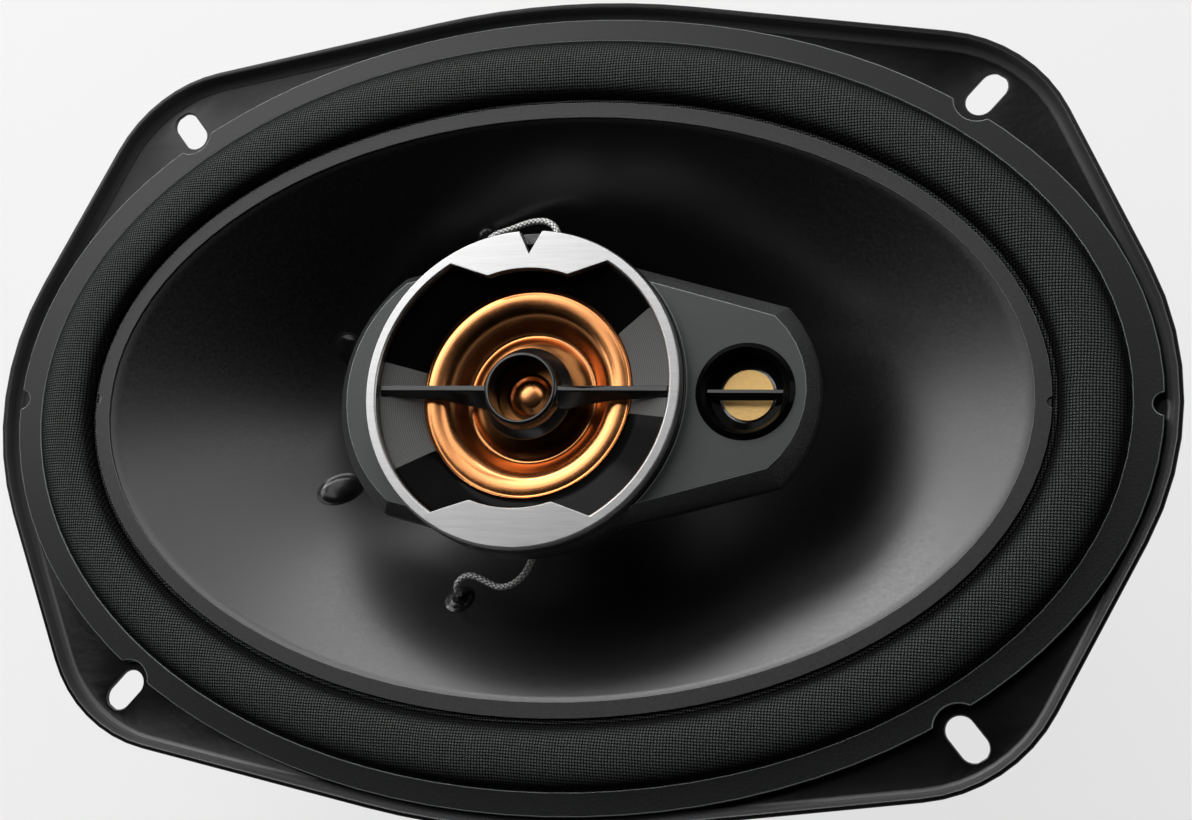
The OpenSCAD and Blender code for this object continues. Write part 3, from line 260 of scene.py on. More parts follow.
class Link:
    """An output socket that takes part in arithmetic; each sum adds its Math node."""

    def __init__(self, bench, socket):
        self.bench, self.socket = bench, socket

    def maths(self, operation, *terms):
        return self.bench.node("ShaderNodeMath", {"operation": operation}, dict(enumerate(terms)))

    def __add__(self, other):
        return self.maths("ADD", self, other)

    def __sub__(self, other):
        return self.maths("SUBTRACT", self, other)

    def __rsub__(self, other):
        return self.maths("SUBTRACT", other, self)

    def __mul__(self, other):
        return self.maths("MULTIPLY", self, other)

    def __truediv__(self, other):
        return self.maths("DIVIDE", self, other)

    def __pow__(self, other):
        return self.maths("POWER", self, other)

    def __abs__(self):
        return self.maths("ABSOLUTE", self)

    __radd__, __rmul__ = __add__, __mul__

    def sine(self):
        return self.maths("SINE", self)

    def above(self, edge):
        return self.maths("GREATER_THAN", self, edge)

    def highest(self, other):
        return self.maths("MAXIMUM", self, other)


class Bench:
    """One finish while its nodes are being laid out."""

    def __init__(self, name, tree=None):
        if tree is None:
            self.material = bpy.data.materials.new(name)
            self.material.use_nodes = True
            tree = self.material.node_tree
        self.tree = tree
        tree.nodes.clear()

    def node(self, kind, settings=None, sockets=None, out=0):
        """Adds a node: its settings first, then the values or links of its sockets."""
        made = self.tree.nodes.new(kind)
        for key, value in (settings or {}).items():
            if key == "stops":
                ramp = made.color_ramp.elements
                while len(ramp) < len(value):
                    ramp.new(0.5)
                for stop, (place, grey) in zip(ramp, value):
                    stop.position, stop.color = place, (grey, grey, grey, 1)
            else:
                setattr(made, key, value)
        for key, value in (sockets or {}).items():
            socket = made.inputs[key]
            if isinstance(value, Link):
                self.tree.links.new(value.socket, socket)
            elif socket.type == "RGBA":
                socket.default_value = (*value[:3], 1)
            else:
                socket.default_value = value
        return Link(self, made.outputs[out]) if made.outputs else None

    def place(self):
        return self.node("ShaderNodeTexCoord", out="Object")

    def axes(self, vector=None):
        """The three coordinates of a vector, in metres for the piece's own place."""
        x = self.node("ShaderNodeSeparateXYZ", {}, {"Vector": vector or self.place()}, "X")
        split = x.socket.node
        return x, Link(self, split.outputs["Y"]), Link(self, split.outputs["Z"])

    def rays(self):
        """Whether a ray comes from the camera, from a glossy surface or through a clear one."""
        camera = self.node("ShaderNodeLightPath", out="Is Camera Ray")
        outputs = camera.socket.node.outputs
        return camera, Link(self, outputs["Is Glossy Ray"]), Link(self, outputs["Is Transmission Ray"])

    def noise(self, size, detail=2.0, stretch=(1, 1, 1)):
        """Noise from 0 to 1 whose blots are about that many metres across."""
        at = self.node("ShaderNodeMapping", {}, {"Vector": self.place(), "Scale": stretch})
        soft = self.node("ShaderNodeTexNoise", {}, {"Vector": at, "Scale": 1 / size, "Detail": detail})
        return self.ramp(soft, (0.27, 0.0), (0.73, 1.0))

    def level(self):
        """1 where a face looks straight up, 0 where it is upright."""
        _, _, level = self.axes(self.node("ShaderNodeTexCoord", out="Normal"))
        return level

    def edges(self):
        """1 on rounded edges between a level face and an upright one, 0 on both faces; finishes paint a
        highlight there.
        """
        return self.ramp(self.level(), (0.15, 0.0), (0.3, 1.0), (0.93, 1.0), (0.985, 0.0))

    def ramp(self, value, *stops):
        return self.node("ShaderNodeValToRGB", {"stops": stops}, {"Fac": value})

    def mix(self, share, low, high):
        """A colour between two others."""
        sockets = {0: share, 6: low, 7: high}
        return self.node("ShaderNodeMix", {"data_type": "RGBA"}, sockets, 2)

    def shader(self, base, rough, metal=0.0, relief=None, depth=0.0, fixed=None):
        """Ends the finish: relief is a height from 0 to 1 that stands depth metres high."""
        sockets = {"Base Color": base, "Roughness": rough, "Metallic": metal, **(fixed or {})}
        if relief is not None:
            sockets["Normal"] = self.node("ShaderNodeBump", {}, {"Height": relief, "Distance": depth})
        surface = self.node("ShaderNodeBsdfPrincipled", {}, sockets)
        self.node("ShaderNodeOutputMaterial", {}, {"Surface": surface})
        return self.material


def tint(rgb, share):
    return tuple(min(1.0, c * share) for c in rgb)


def weave(bench, along, across, thread):
    """Height of a plain weave from 0 to 1, between the threads and on top of them."""
    u, v = along * (pi / thread), across * (pi / thread)
    warp, weft = abs(u.sine()), abs(v.sine())
    top = (u.sine() * v.sine()).above(0.0)
    return top * warp * weft ** 0.35 + (1 - top) * weft * warp ** 0.35


def basket_paint(bench, sizes, colours):
    worn = bench.noise(0.03, 3)
    peel = bench.noise(0.0016, 2)
    base = bench.mix(worn, tint(colours.paint, 0.7), tint(colours.paint, 1.4))
    # Painted highlight: the rounded edges are made thirty times lighter, a bright line along every edge
    # of the pressing.
    base = bench.mix(bench.edges(), base, tint(colours.paint, 30))
    return bench.shader(
        base, 0.2 + 0.08 * worn, relief=peel, depth=0.00001, fixed={"Specular IOR Level": 0.28}
    )


def gasket_foam(bench, sizes, colours):
    cells = bench.noise(0.0005, 3)
    patch = bench.noise(0.02, 2)
    base = bench.mix(0.6 * cells + 0.4 * patch, tint(colours.gasket, 0.8), tint(colours.gasket, 1.2))
    # Painted highlight: the gasket's rounded edges are made forty times lighter, a thin bright line
    # round its outline.
    base = bench.mix(bench.edges(), base, tint(colours.gasket, 40))
    return bench.shader(
        base, 0.32 + 0.1 * cells, relief=cells, depth=0.00001, fixed={"Specular IOR Level": 0.4}
    )


def surround_cloth(bench, sizes, colours):
    """Woven cloth with painted light: its threads are painted lighter on their tops and lightest along
    the top of the roll, where its faces look up.
    """
    x, y, _ = bench.axes()
    sway = (bench.noise(0.012, 1) - 0.5) * (0.5 * sizes.thread)
    height = weave(bench, x + sway, y + sway, sizes.thread)
    fibre = bench.noise(0.0002, 1)
    crown_light = bench.ramp(bench.level(), (0.68, 0.06), (0.95, 1.0))
    # Painted light: thread tops, and the roll where it faces up, are made lighter as if lit from above.
    lit = height ** 2 * (0.7 + 0.5 * fibre) * crown_light
    base = bench.mix(lit, tint(colours.cloth, 0.02), tint(colours.cloth, 12))
    return bench.shader(
        base, 0.5 + 0.2 * fibre, relief=height + 0.15 * fibre, depth=0.0002,
        fixed={"Specular IOR Level": 0.12},
    )


def cone_polymer(bench, sizes, colours):
    grain = bench.noise(0.0007, 3)
    flow = bench.noise(0.012, 3)
    base = bench.mix(0.6 * grain + 0.4 * flow, tint(colours.cone, 0.75), tint(colours.cone, 1.25))
    return bench.shader(
        base, 0.29 + 0.07 * grain, relief=grain, depth=0.000004, fixed={"Specular IOR Level": 0.9}
    )


def ring_polymer(bench, sizes, colours):
    grain = bench.noise(0.0006, 2)
    base = bench.mix(grain, tint(colours.ring, 0.85), tint(colours.ring, 1.15))
    # Painted highlight: the lip's rounded edges are made four times lighter.
    base = bench.mix(bench.edges(), base, tint(colours.ring, 4))
    return bench.shader(
        base, 0.4 + 0.1 * grain, relief=grain, depth=0.000008, fixed={"Specular IOR Level": 0.28}
    )


def trim_aluminium(bench, sizes, colours):
    lines = bench.noise(sizes.brush, 2, (0.02, 1, 0.3))
    broad = bench.noise(0.0009, 2, (0.03, 1, 0.3))
    base = bench.mix(0.6 * lines + 0.4 * broad, tint(colours.trim, 0.84), tint(colours.trim, 1.06))
    return bench.shader(base, 0.3 + 0.1 * lines, 1.0, relief=lines, depth=0.000003)


def bezel_plastic(bench, sizes, colours):
    """Gloss black; in a sector at either end of the crossbar it is rougher, turned in fine grooves, and
    painted light grey as a painted reflection of the lamps.
    """
    x, y, _ = bench.axes()
    lean, radius = y / x, (x * x + y * y) ** 0.5
    inside = 1 - radius.above(BEZEL_TOP.x)
    satin_glint = inside * (lean.above(SATIN_GLINT_SECTOR[0]) - lean.above(SATIN_GLINT_SECTOR[1]))
    lines = (radius * (2 * pi / sizes.groove)).sine() * 0.5 + 0.5
    grooves = lines * satin_glint
    haze = bench.noise(0.006, 2)
    # Painted reflection: the sectors and their groove lines are made light grey, a glint of the lamps.
    base = bench.mix(satin_glint * 0.6 + 0.4 * grooves, (0.003, 0.003, 0.003), (0.19, 0.19, 0.185))
    return bench.shader(
        base, 0.1 + 0.04 * haze + 0.25 * satin_glint, relief=grooves, depth=0.00001,
        fixed={"Specular IOR Level": 0.03},
    )


def housing_plastic(bench, sizes, colours):
    """Satin grey on the level face, and glossy black leather grain on the slopes round it."""
    leather = bench.noise(0.0004, 2)
    _, _, z = bench.axes()
    face = z.above(BEZEL_LOW.z + COVER_FACE)
    drum = z.above(BEZEL_LOW.z + COVER_DRUM)
    grain = leather * (1 - 0.9 * face)
    base = bench.mix(grain, tint(colours.housing, 0.05), tint(colours.housing, 0.7))
    base = bench.mix(face, base, tint(colours.housing, 1.0))
    # Painted highlight: the rounded edge of the level face is made five times lighter, a thin bright
    # line.
    base = bench.mix(bench.edges() * face, base, tint(colours.housing, 5))
    base = bench.mix(drum, base, (0.004, 0.004, 0.004))
    return bench.shader(
        base, 0.4 + 0.1 * leather - 0.22 * drum, relief=grain, depth=0.0001,
        fixed={"Coat Weight": 0.9 - 0.9 * face, "Coat Roughness": 0.35},
    )


def guard_plastic(bench, sizes, colours):
    """Gloss black, rougher and painted light grey on its level upper faces as a painted highlight."""
    grain = bench.noise(0.0003, 2)
    top_glint = bench.level().above(0.992)
    base = bench.mix(grain, (0.006, 0.006, 0.006), (0.014, 0.014, 0.014))
    # Painted highlight: level upper faces are made light grey, as if catching the lamps.
    base = bench.mix(top_glint, base, (0.11, 0.11, 0.11))
    return bench.shader(base, 0.16 + 0.06 * grain + 0.2 * top_glint, relief=grain, depth=0.000003)


def diaphragm_film(bench, sizes, colours):
    """Bright film, with painted shade making the inner dome dark brown, as the dark tube mirrored
    there, but for the bead in its middle.
    """
    haze = bench.noise(0.004, 2)
    x, y, _ = bench.axes()
    radius = (x * x + y * y) ** 0.5
    base = bench.mix(haze, tint(colours.film, 0.94), tint(colours.film, 1.05))
    cap_shade = bench.ramp(radius * (1 / DOME_RADIUS), (0.185, 0.0), (0.22, 1.0), (0.57, 0.85), (0.62, 0.0))
    # Painted shade: the inner dome is made dark brown, but for its bead.
    base = bench.mix(cap_shade, base, (0.2, 0.08, 0.025))
    return bench.shader(base, 0.2 + 0.05 * haze, 1.0)


def disc_film(bench, sizes, colours):
    haze = bench.noise(0.0006, 2)
    base = bench.mix(haze, tint(colours.disc, 0.94), tint(colours.disc, 1.05))
    return bench.shader(base, 0.42 + 0.1 * haze, 0.85, relief=haze, depth=0.00001)


def braid(bench, sizes, colours):
    at = bench.node("ShaderNodeUVMap", {"uv_map": "Along"})
    round_it, along, _ = bench.axes(at)
    one = (pi * (4 * round_it + along)).sine()
    two = (pi * (4 * round_it - along)).sine()
    height = (abs(one) ** 0.5).highest(abs(two) ** 0.5) * abs(one * two) ** 0.3
    base = bench.mix(height, tint(colours.braid, 0.1), tint(colours.braid, 1.35))
    return bench.shader(base, 0.4 + 0.15 * height, 0.55, relief=height, depth=0.0002)


def glue(bench, sizes, colours):
    lumps = bench.noise(0.003, 1)
    base = bench.mix(lumps, (0.006, 0.006, 0.006), (0.014, 0.014, 0.014))
    return bench.shader(base, 0.14 + 0.1 * lumps, relief=lumps, depth=0.00004)


def spider_cloth(bench, sizes, colours):
    x, y, _ = bench.axes()
    height = weave(bench, x, y, sizes.spider_thread)
    dip = bench.noise(0.01, 2)
    base = bench.mix(0.7 * height + 0.3 * dip, tint(colours.spider, 0.45), tint(colours.spider, 1.2))
    return bench.shader(base, 0.7 + 0.1 * dip, relief=height, depth=0.00012)


def plated_steel(bench, sizes, colours):
    spots = bench.noise(0.006, 4)
    lines = bench.noise(0.0006, 2)
    base = bench.mix(spots, tint(colours.plate, 0.8), tint(colours.plate, 1.12))
    return bench.shader(base, 0.26 + 0.16 * spots, 0.95, relief=lines, depth=0.000012)


def ferrite(bench, sizes, colours):
    grit = bench.noise(0.0006, 4)
    stain = bench.noise(0.015, 3)
    base = bench.mix(0.5 * grit + 0.5 * stain, tint(colours.ferrite, 0.6), tint(colours.ferrite, 1.6))
    return bench.shader(base, 0.5 + 0.2 * grit, relief=grit, depth=0.00008)


def rivet_steel(bench, sizes, colours):
    lines = bench.noise(0.0005, 3)
    base = bench.mix(lines, tint(colours.plate, 0.9), tint(colours.plate, 1.2))
    return bench.shader(base, 0.3 + 0.15 * lines, 1.0, relief=lines, depth=0.00001)


def board_phenolic(bench, sizes, colours):
    fibre = bench.noise(0.0004, 4, (0.15, 1, 1))
    cloud = bench.noise(0.006, 2)
    base = bench.mix(0.6 * fibre + 0.4 * cloud, tint(colours.board, 0.7), tint(colours.board, 1.4))
    return bench.shader(base, 0.42 + 0.15 * fibre, relief=fibre, depth=0.00002)


def terminal_brass(bench, sizes, colours):
    dull = bench.noise(0.003, 3)
    base = bench.mix(dull, (0.62, 0.58, 0.5), (0.8, 0.78, 0.72))
    return bench.shader(base, 0.24 + 0.18 * dull, 1.0, relief=dull, depth=0.00001)


def coil_copper(bench, sizes, colours):
    _, _, z = bench.axes()
    turns = abs((z * (pi / WIRE_PITCH)).sine())
    stain = bench.noise(0.004, 2)
    base = bench.mix(turns * (0.7 + 0.3 * stain), (0.2, 0.06, 0.02), (0.85, 0.4, 0.18))
    return bench.shader(base, 0.25 + 0.1 * stain, 1.0, relief=turns, depth=0.00012)


def former_film(bench, sizes, colours):
    haze = bench.noise(0.004, 3)
    base = bench.mix(haze, (0.5, 0.26, 0.05), (0.66, 0.36, 0.08))
    return bench.shader(base, 0.2 + 0.12 * haze, relief=haze, depth=0.00001)


def seal_felt(bench, sizes, colours):
    hair = bench.noise(0.0005, 4, (1, 1, 0.4))
    base = bench.mix(hair, (0.006, 0.006, 0.006), (0.03, 0.03, 0.03))
    return bench.shader(base, 0.85 + 0.1 * hair, relief=hair, depth=0.0002)


def neodymium(bench, sizes, colours):
    haze = bench.noise(0.002, 3)
    base = bench.mix(haze, (0.5, 0.49, 0.47), (0.62, 0.61, 0.58))
    return bench.shader(base, 0.18 + 0.12 * haze, 1.0)


def capacitor_sleeve(bench, sizes, colours):
    x, y, _ = bench.axes()
    crimp = abs((x * (pi / CRIMP_PITCH)).sine()) ** 6
    haze = bench.noise(0.002, 2)
    base = bench.mix(haze, (0.012, 0.014, 0.03), (0.02, 0.024, 0.05))
    return bench.shader(base, 0.24 + 0.1 * haze, relief=crimp, depth=0.0001)


FINISH_OF = {
    "basket_steel": basket_paint, "gasket_foam": gasket_foam, "surround_cloth": surround_cloth,
    "cone_polymer": cone_polymer, "ring_polymer": ring_polymer, "former_film": former_film,
    "seal_felt": seal_felt, "glue": glue, "braid": braid, "spider_cloth": spider_cloth,
    "plated_steel": plated_steel, "ferrite": ferrite, "rivet_steel": rivet_steel,
    "board_phenolic": board_phenolic, "terminal_brass": terminal_brass,
    "housing_plastic": housing_plastic, "bridge_plastic": guard_plastic,
    "trim_aluminium": trim_aluminium, "bezel_plastic": bezel_plastic,
    "diaphragm_film": diaphragm_film, "disc_film": disc_film, "coil_copper": coil_copper,
    "neodymium": neodymium, "capacitor_sleeve": capacitor_sleeve,
}


def finish(slot):
    """The finish of a material slot, made the first time that a piece asks for it."""
    scene, lay = bpy.context.scene, FINISH_OF[slot]
    name = lay.__name__.replace("_", " ").capitalize()
    return bpy.data.materials.get(name) or lay(Bench(name), scene.speaker_sizes, scene.speaker_colours)


# ---- how pieces are made ----


def stand(name, bm, slot, nodes, sharp=30.0):
    """Turns a finished bmesh into the piece that stands for these solids, and hides the solids."""
    mesh = bpy.data.meshes.new(name)
    for face in bm.faces:
        face.smooth = True
    for edge in bm.edges:
        edge.smooth = len(edge.link_faces) == 2 and edge.calc_face_angle() < radians(sharp)
    bm.to_mesh(mesh)
    bm.free()
    mesh.materials.append(finish(slot))
    piece = bpy.data.objects.new(name, mesh)
    bpy.context.scene.collection.objects.link(piece)
    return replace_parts(piece, *nodes)


def ride(piece, node):
    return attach(piece, frame["nodes"][node]["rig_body"])


def dressed(node, name, edge=None, sharp=28.0, reshape=None):
    """A smooth copy of a rigid solid, its hard edges slightly rounded."""
    bm = bmesh.new()
    bm.from_mesh(frame["nodes"][node].data)
    bmesh.ops.remove_doubles(bm, verts=bm.verts, dist=2e-6)
    bmesh.ops.join_triangles(
        bm, faces=bm.faces, angle_face_threshold=radians(0.5), angle_shape_threshold=radians(60)
    )
    if reshape:
        reshape(bm)
    piece = stand(name, bm, SLOT_OF[node], [node], sharp)
    width = bpy.context.scene.speaker_sizes.edge if edge is None else edge
    if width:
        rounding = piece.modifiers.new("Rounded edges", "BEVEL")
        rounding.width, rounding.segments, rounding.profile = width, 2, 0.5
        rounding.limit_method, rounding.angle_limit = "ANGLE", radians(sharp)
        rounding.use_clamp_overlap, rounding.loop_slide, rounding.harden_normals = False, False, True
    return ride(piece, node)


def repaint(*nodes):
    """Gives solids that keep their own mesh the finish of their slot."""
    for node in nodes:
        for socket in frame["nodes"][node].material_slots:
            socket.material = finish(SLOT_OF[node])


def ribbon(line, thick):
    """The closed outline of a strip of that thickness along a line of (radius, height) points."""
    upper, lower = [], []
    for i, (r, z) in enumerate(line):
        a, b = Vector(line[max(i - 1, 0)]), Vector(line[min(i + 1, len(line) - 1)])
        side = (b - a).orthogonal().normalized() * (thick / 2)
        side = side if side.y > 0 else -side
        upper.append((r + side.x, z + side.y))
        lower.append((r - side.x, z - side.y))
    return upper + lower[::-1]


def spun(outline, steps=192, widen=None):
    """Spins a closed (radius, height) outline round the axis.

    widen(radius) then lengthens it along X, and each point keeps its own radius as its reach.
    """
    bm = bmesh.new()
    dots = [bm.verts.new((r, 0, z)) for r, z in outline]
    lines = [bm.edges.new(pair) for pair in zip(dots, dots[1:] + dots[:1])]
    bmesh.ops.spin(
        bm, geom=dots + lines, cent=(0, 0, 0), axis=(0, 0, 1), dvec=(0, 0, 0),
        angle=2 * pi, steps=steps, use_merge=True,
    )
    bmesh.ops.remove_doubles(bm, verts=bm.verts, dist=1e-7)
    bmesh.ops.recalc_face_normals(bm, faces=bm.faces)
    if widen:
        reach = bm.verts.layers.float.new("reach")
        for v in bm.verts:
            v[reach] = v.co.xy.length
            v.co.x += widen(v[reach]) * v.co.x / max(v[reach], 1e-9)
    return bm


def eased_blend(piece, share):
    """Reads each point's reach, moves the piece's place into its mesh, and works out an eased share
    from 0 to 1 for each point; the shares are not used to bend the piece.
    """
    reach = [d.value for d in piece.data.attributes["reach"].data]
    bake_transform(piece)
    ease = [t * t * (3 - 2 * t) for t in (min(1.0, max(0.0, share(r))) for r in reach)]


def heading(line, i):
    """The way that a line of points runs at its point i."""
    return (line[min(i + 1, len(line) - 1)] - line[max(i - 1, 0)]).normalized()


class Shape:
    """The oval's own measures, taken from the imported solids."""

    neck = FORMER_TOP.x
    rim_x, rim_y = RING_TOP.x, RING_TOP.y
    stretch = rim_x - rim_y
    lip_width = 0.0031
    cone_y = rim_y - lip_width
    top = CONE_TOP.z
    depth = 0.036
    roll_width = 0.0134
    open_y = rim_y + roll_width

    @classmethod
    def widen_cone(cls, r):
        """How much longer the cone's half length is than its half width r."""
        s = max(0.0, (cls.cone_y - r) / (cls.cone_y - cls.neck))
        return cls.stretch * (1 - s)

    @classmethod
    def cone_height(cls, s):
        """The height of the cone's upper face, a share s of the way to the neck."""
        return cls.top - cls.depth * (0.75 * s + 0.25 * s * s)

    @classmethod
    def on_cone(cls, s, turn):
        """The matrix that stands a piece on the cone's upper face, at that turn in degrees."""
        a = cls.cone_y + cls.stretch + (cls.neck - cls.cone_y - cls.stretch) * s
        b = cls.cone_y + (cls.neck - cls.cone_y) * s
        t = radians(turn)
        at = Vector((a * cos(t), b * sin(t), cls.cone_height(s)))
        slope = Vector((
            (cls.neck - cls.cone_y - cls.stretch) * cos(t), (cls.neck - cls.cone_y) * sin(t),
            -cls.depth * (0.75 + 0.5 * s),
        ))
        round_it = Vector((-a * sin(t), b * cos(t), 0))
        up = slope.cross(round_it).normalized()
        up = up if up.z > 0 else -up
        side = round_it.normalized()
        return Matrix.Translation(at) @ Matrix((side, up.cross(side), up)).transposed().to_4x4()


# ---- the operators, one for each piece or group of like pieces ----


class Maker:
    """What every operator of the speaker shares."""

    bl_options = {"REGISTER", "UNDO"}

    def execute(self, context):
        self.make(context.scene.speaker_sizes)
        return {"FINISHED"}


class SPEAKER_OT_studio(Maker, bpy.types.Operator):
    """Sets up the camera, the pale floor, the world and the softboxes"""

    bl_idname = "speaker.studio"
    bl_label = "Studio"

    def make(self, sizes):
        scene = bpy.context.scene
        studio = scene.speaker_studio
        camera = bpy.data.objects.new("Camera", bpy.data.cameras.new("Camera"))
        scene.collection.objects.link(camera)
        camera.location, camera.rotation_euler = studio.camera_place, studio.camera_turn
        camera.data.lens, camera.data.sensor_width = studio.lens, 36
        camera.data.shift_x, camera.data.shift_y = studio.shift
        camera.data.clip_start, camera.data.clip_end = 0.01, 50
        scene.camera = camera
        scene.view_settings.view_transform = "Standard"
        self.floor(studio)
        self.world(scene, studio)
        for name, strength, place, size in SOFTBOXES:
            self.softbox(name, place, size, getattr(studio, strength))

    def floor(self, studio):
        """A round of pale paper that glows a little for the camera and for reflections."""
        bm = bmesh.new()
        bmesh.ops.create_circle(bm, cap_ends=True, segments=64, radius=studio.floor_width / 2)
        bmesh.ops.translate(bm, verts=bm.verts, vec=(0, 0, CAD_BOX[0][2] - 0.0001))
        mesh = bpy.data.meshes.new("Floor")
        bm.to_mesh(mesh)
        bm.free()
        bench = Bench("Pale floor")
        camera, glossy, through = bench.rays()
        seen = camera.highest(glossy).highest(through)
        paper = bench.mix(bench.noise(0.5, 2), (0.80, 0.80, 0.80), (0.84, 0.84, 0.84))
        matt = bench.node("ShaderNodeBsdfDiffuse", {}, {"Color": paper})
        glow = bench.node("ShaderNodeEmission", {}, {"Color": (1, 1, 1), "Strength": 1.0})
        surface = bench.node("ShaderNodeMixShader", {}, {0: 0.72 * seen, 1: matt, 2: glow})
        bench.node("ShaderNodeOutputMaterial", {}, {"Surface": surface})
        mesh.materials.append(bench.material)
        floor = bpy.data.objects.new("Floor", mesh)
        bpy.context.scene.collection.objects.link(floor)

    def world(self, scene, studio):
        """White behind the speaker, faint as a light, and brightest low and far back in reflections."""
        scene.world = bpy.data.worlds.new("Studio")
        scene.world.use_nodes = True
        bench = Bench("Studio", scene.world.node_tree)
        camera, glossy, through = bench.rays()
        way = bench.node("ShaderNodeTexCoord", out="Generated")
        x, y, z = bench.axes(way)
        lean = 0.5 + 0.5 * (0.85 * y - 0.42 * x + 0.3 * z)
        corner = bench.ramp(lean, (0.5, 0.0), (0.8, 0.02), (0.98, 0.25))
        low = bench.ramp(abs(z), (0.0, 1.0), (0.1, 0.7), (0.24, 0.0))
        horizon = low * bench.ramp(0.5 + 0.5 * y, (0.3, 0.08), (0.6, 1.0))
        seen = bench.node("ShaderNodeBackground", {}, {"Color": (1, 1, 1), "Strength": 1.0})
        room = corner.highest(horizon)
        mirrored = bench.node("ShaderNodeBackground", {}, {"Color": room, "Strength": 1.0})
        ambient = {"Color": (1, 1, 1), "Strength": studio.ambient}
        lights = bench.node("ShaderNodeBackground", {}, ambient)
        reflected = glossy.highest(through)
        mixed = bench.node("ShaderNodeMixShader", {}, {0: reflected, 1: lights, 2: mirrored})
        mixed = bench.node("ShaderNodeMixShader", {}, {0: camera, 1: mixed, 2: seen})
        bench.node("ShaderNodeOutputWorld", {}, {"Surface": mixed})

    def softbox(self, name, place, size, strength):
        """A rectangular lamp that faces the speaker; its power follows from its size."""
        lamp = bpy.data.lights.new(name, "AREA")
        lamp.shape, lamp.size, lamp.size_y = "RECTANGLE", size[0], size[1]
        lamp.energy = strength * pi * size[0] * size[1]
        box = bpy.data.objects.new(name, lamp)
        bpy.context.scene.collection.objects.link(box)
        box.location = place
        box.rotation_euler = (-Vector(place)).to_track_quat("-Z", "Y").to_euler()
        box.visible_camera = False


class SPEAKER_OT_leads(Maker, bpy.types.Operator):
    """Makes the two braided leads between the cone and the bridge"""

    bl_idname = "speaker.leads"
    bl_label = "Leads"

    def make(self, sizes):
        for name, node, route in (
            ("upper_braid", "upper_lead", UPPER_ROUTE), ("lower_braid", "lower_lead", LOWER_ROUTE)
        ):
            self.lead(name, node, route, sizes)

    def lead(self, name, node, route, sizes):
        """Draws a ring along the route."""
        bm = bmesh.new()
        uv = bm.loops.layers.uv.new("Along")
        share = bm.verts.layers.float.new("reach")
        row = bm.verts.layers.int.new("row")
        spine = self.smooth([Vector(p) for p in route])
        run = [0.0]
        for a, b in zip(spine, spine[1:]):
            run.append(run[-1] + (b - a).length)
        ring = bmesh.ops.create_circle(bm, segments=12, radius=sizes.lead / 2)["verts"]
        facing, place = Vector((0, 0, 1)), Vector()
        for i, at in enumerate(spine):
            way = heading(spine, i)
            swing = facing.rotation_difference(way).to_matrix()
            if i:
                old = [e for e in bm.edges if e.verts[0] in ring and e.verts[1] in ring]
                extruded = bmesh.ops.extrude_edge_only(bm, edges=old)["geom"]
                ring = [g for g in extruded if isinstance(g, bmesh.types.BMVert)]
            bmesh.ops.translate(bm, verts=ring, vec=-place)
            bmesh.ops.rotate(bm, verts=ring, cent=(0, 0, 0), matrix=swing)
            bmesh.ops.translate(bm, verts=ring, vec=at)
            for v in ring:
                v[share], v[row] = run[i] / run[-1], i
            facing, place = way, at.copy()
        bmesh.ops.holes_fill(bm, edges=[e for e in bm.edges if len(e.link_faces) == 1], sides=0)
        bmesh.ops.recalc_face_normals(bm, faces=bm.faces)
        self.lay_out(bm, uv, row, spine, run, sizes)
        piece = stand(name, bm, "braid", [node], 60)
        eased_blend(piece, lambda run_share: 1.1 - 1.2 * run_share)

    def smooth(self, points):
        """Three points for every one of the route, on a curve through them."""
        spine = []
        for i in range(len(points) - 1):
            p0, p1, p2, p3 = (points[min(max(k, 0), len(points) - 1)] for k in range(i - 1, i + 3))
            for t in (0, 1 / 3, 2 / 3):
                spine.append(0.5 * (
                    2 * p1 + (p2 - p0) * t + (2 * p0 - 5 * p1 + 4 * p2 - p3) * t * t
                    + (3 * p1 - p0 - 3 * p2 + p3) * t ** 3
                ))
        return spine + [points[-1]]

    def lay_out(self, bm, uv, row, spine, run, sizes):
        """Unrolls the tube, so that the braid runs along it."""
        for face in bm.faces:
            centre = face.calc_center_median()
            for loop in face.loops:
                v = loop.vert
                i = v[row]
                way = heading(spine, i)
                flat = way.cross(Vector((0, 0, 1)))
                flat = flat.normalized() if flat.length > 0.05 else Vector((1, 0, 0))
                over = flat.cross(way)
                arm, middle = v.co - spine[i], centre - spine[i]
                turn = atan2(arm.dot(over), arm.dot(flat)) / (2 * pi)
                base = atan2(middle.dot(over), middle.dot(flat)) / (2 * pi)
                turn += round(base - turn)
                loop[uv].uv = (turn, run[i] / sizes.braid)


class SPEAKER_OT_basket(Maker, bpy.types.Operator):
    """Dresses the pressed basket and its rivets"""

    bl_idname = "speaker.basket"
    bl_label = "Basket"

    def make(self, sizes):
        dressed("basket_frame", "basket_pressing", edge=0.0003, sharp=32)
        dressed("frame_rivets", "basket_rivets", edge=0.0003)


